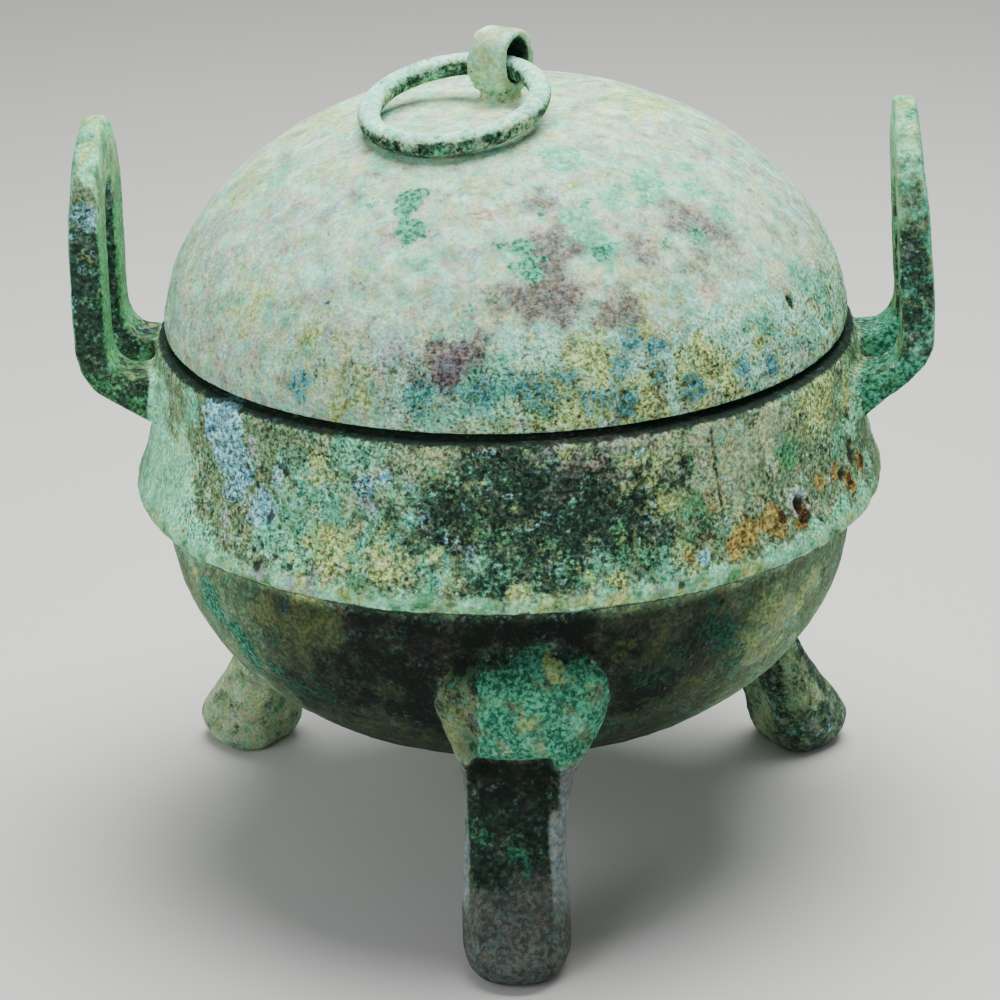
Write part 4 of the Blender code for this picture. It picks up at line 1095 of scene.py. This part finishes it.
print("patina")
vesselBronze = patinaMaterial("vesselBronze", "olive", (
    "khaki", "dark", "brown", "mint", "turquoise", "yellow", "green", "lilac", "malachite", "azurite",
    "ochre", "rust", "ash"))
lidBronze = patinaMaterial("lidBronze", "stone", (
    "cream", "lilac", "pink", "khaki", "cyan", "yellow", "turquoise", "brown", "malachite", "teal",
    "cuprite", "dark"))
ringBronze = patinaMaterial("ringBronze", "stone", (
    "cream", "cyan", "khaki", "turquoise", "malachite", "dark"))
finishes = ((vesselUpper, vesselBronze), (vesselLower, vesselBronze), (lid, lidBronze), (ring, ringBronze))
for made, material in finishes:
    made.data.materials.clear()
    made.data.materials.append(material)

# stage, light and camera
view = {
    "distance": 863.1, "elevation": 21.411, "aside": 2.7, "roll": -1.277, "aim": 80.0,
    "lens": 144.0, "shiftX": -0.0095, "shiftY": -0.0207,
}


def makeCamera():
    data = bpy.data.cameras.new("camera")
    data.lens = view["lens"]
    data.shift_x = view["shiftX"]
    data.shift_y = view["shiftY"]
    made = bpy.data.objects.new("camera", data)
    bpy.context.scene.collection.objects.link(made)
    lift = math.radians(view["elevation"])
    reach = view["distance"] * mm
    place = Vector((0, -reach * math.cos(lift), view["aim"] * mm + reach * math.sin(lift)))
    around = Matrix.Rotation(math.radians(view["aside"]), 4, "Z")
    made.matrix_world = (
        Matrix.Translation((0, axisBack * mm, 0)) @ around @ Matrix.Translation(place)
        @ Matrix.Rotation(math.radians(90) - lift, 4, "X")
        @ Matrix.Rotation(math.radians(view["roll"]), 4, "Z")
    )
    bpy.context.scene.camera = made


def makeLight(name, where, aim, size, watts, colour):
    data = bpy.data.lights.new(name, "AREA")
    data.shape = "DISK"
    data.size = size
    data.energy = watts
    data.color = colour
    made = bpy.data.objects.new(name, data)
    bpy.context.scene.collection.objects.link(made)
    made.location = where
    made.rotation_euler = (Vector(aim) - Vector(where)).to_track_quat("-Z", "Y").to_euler()


def makeFloor():
    bm = bmesh.new()
    bmesh.ops.create_grid(bm, x_segments=1, y_segments=1, size=4)
    floor = toObject("floor", bm)
    matt = bpy.data.materials.new("floorPaper")
    matt.use_nodes = True
    shader = matt.node_tree.nodes["Principled BSDF"]
    shader.inputs["Base Color"].default_value = (0.62, 0.62, 0.61, 1)
    shader.inputs["Roughness"].default_value = 0.8
    floor.data.materials.append(matt)


makeCamera()
makeFloor()
makeLight("topLight", (0.05, 0.10, 0.70), (0, 0, 0.1), 0.6, 11.4, (1, 0.99, 0.97))
makeLight("frontLight", (-0.5, -0.7, 0.5), (0, 0, 0.08), 0.5, 3, (0.97, 0.98, 1))
world = bpy.data.worlds.new("studio")
world.use_nodes = True
world.node_tree.nodes["Background"].inputs["Color"].default_value = (0.8, 0.81, 0.82, 1)
world.node_tree.nodes["Background"].inputs["Strength"].default_value = 0.38
bpy.context.scene.world = world

for made in (vesselUpper, vesselLower, lid):
    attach(made, "vessel")
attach(ring, "ring")
for made, node in ((vesselUpper, "vessel"), (vesselLower, "vessel"), (lid, "lid"), (ring, "ring")):
    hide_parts(node)
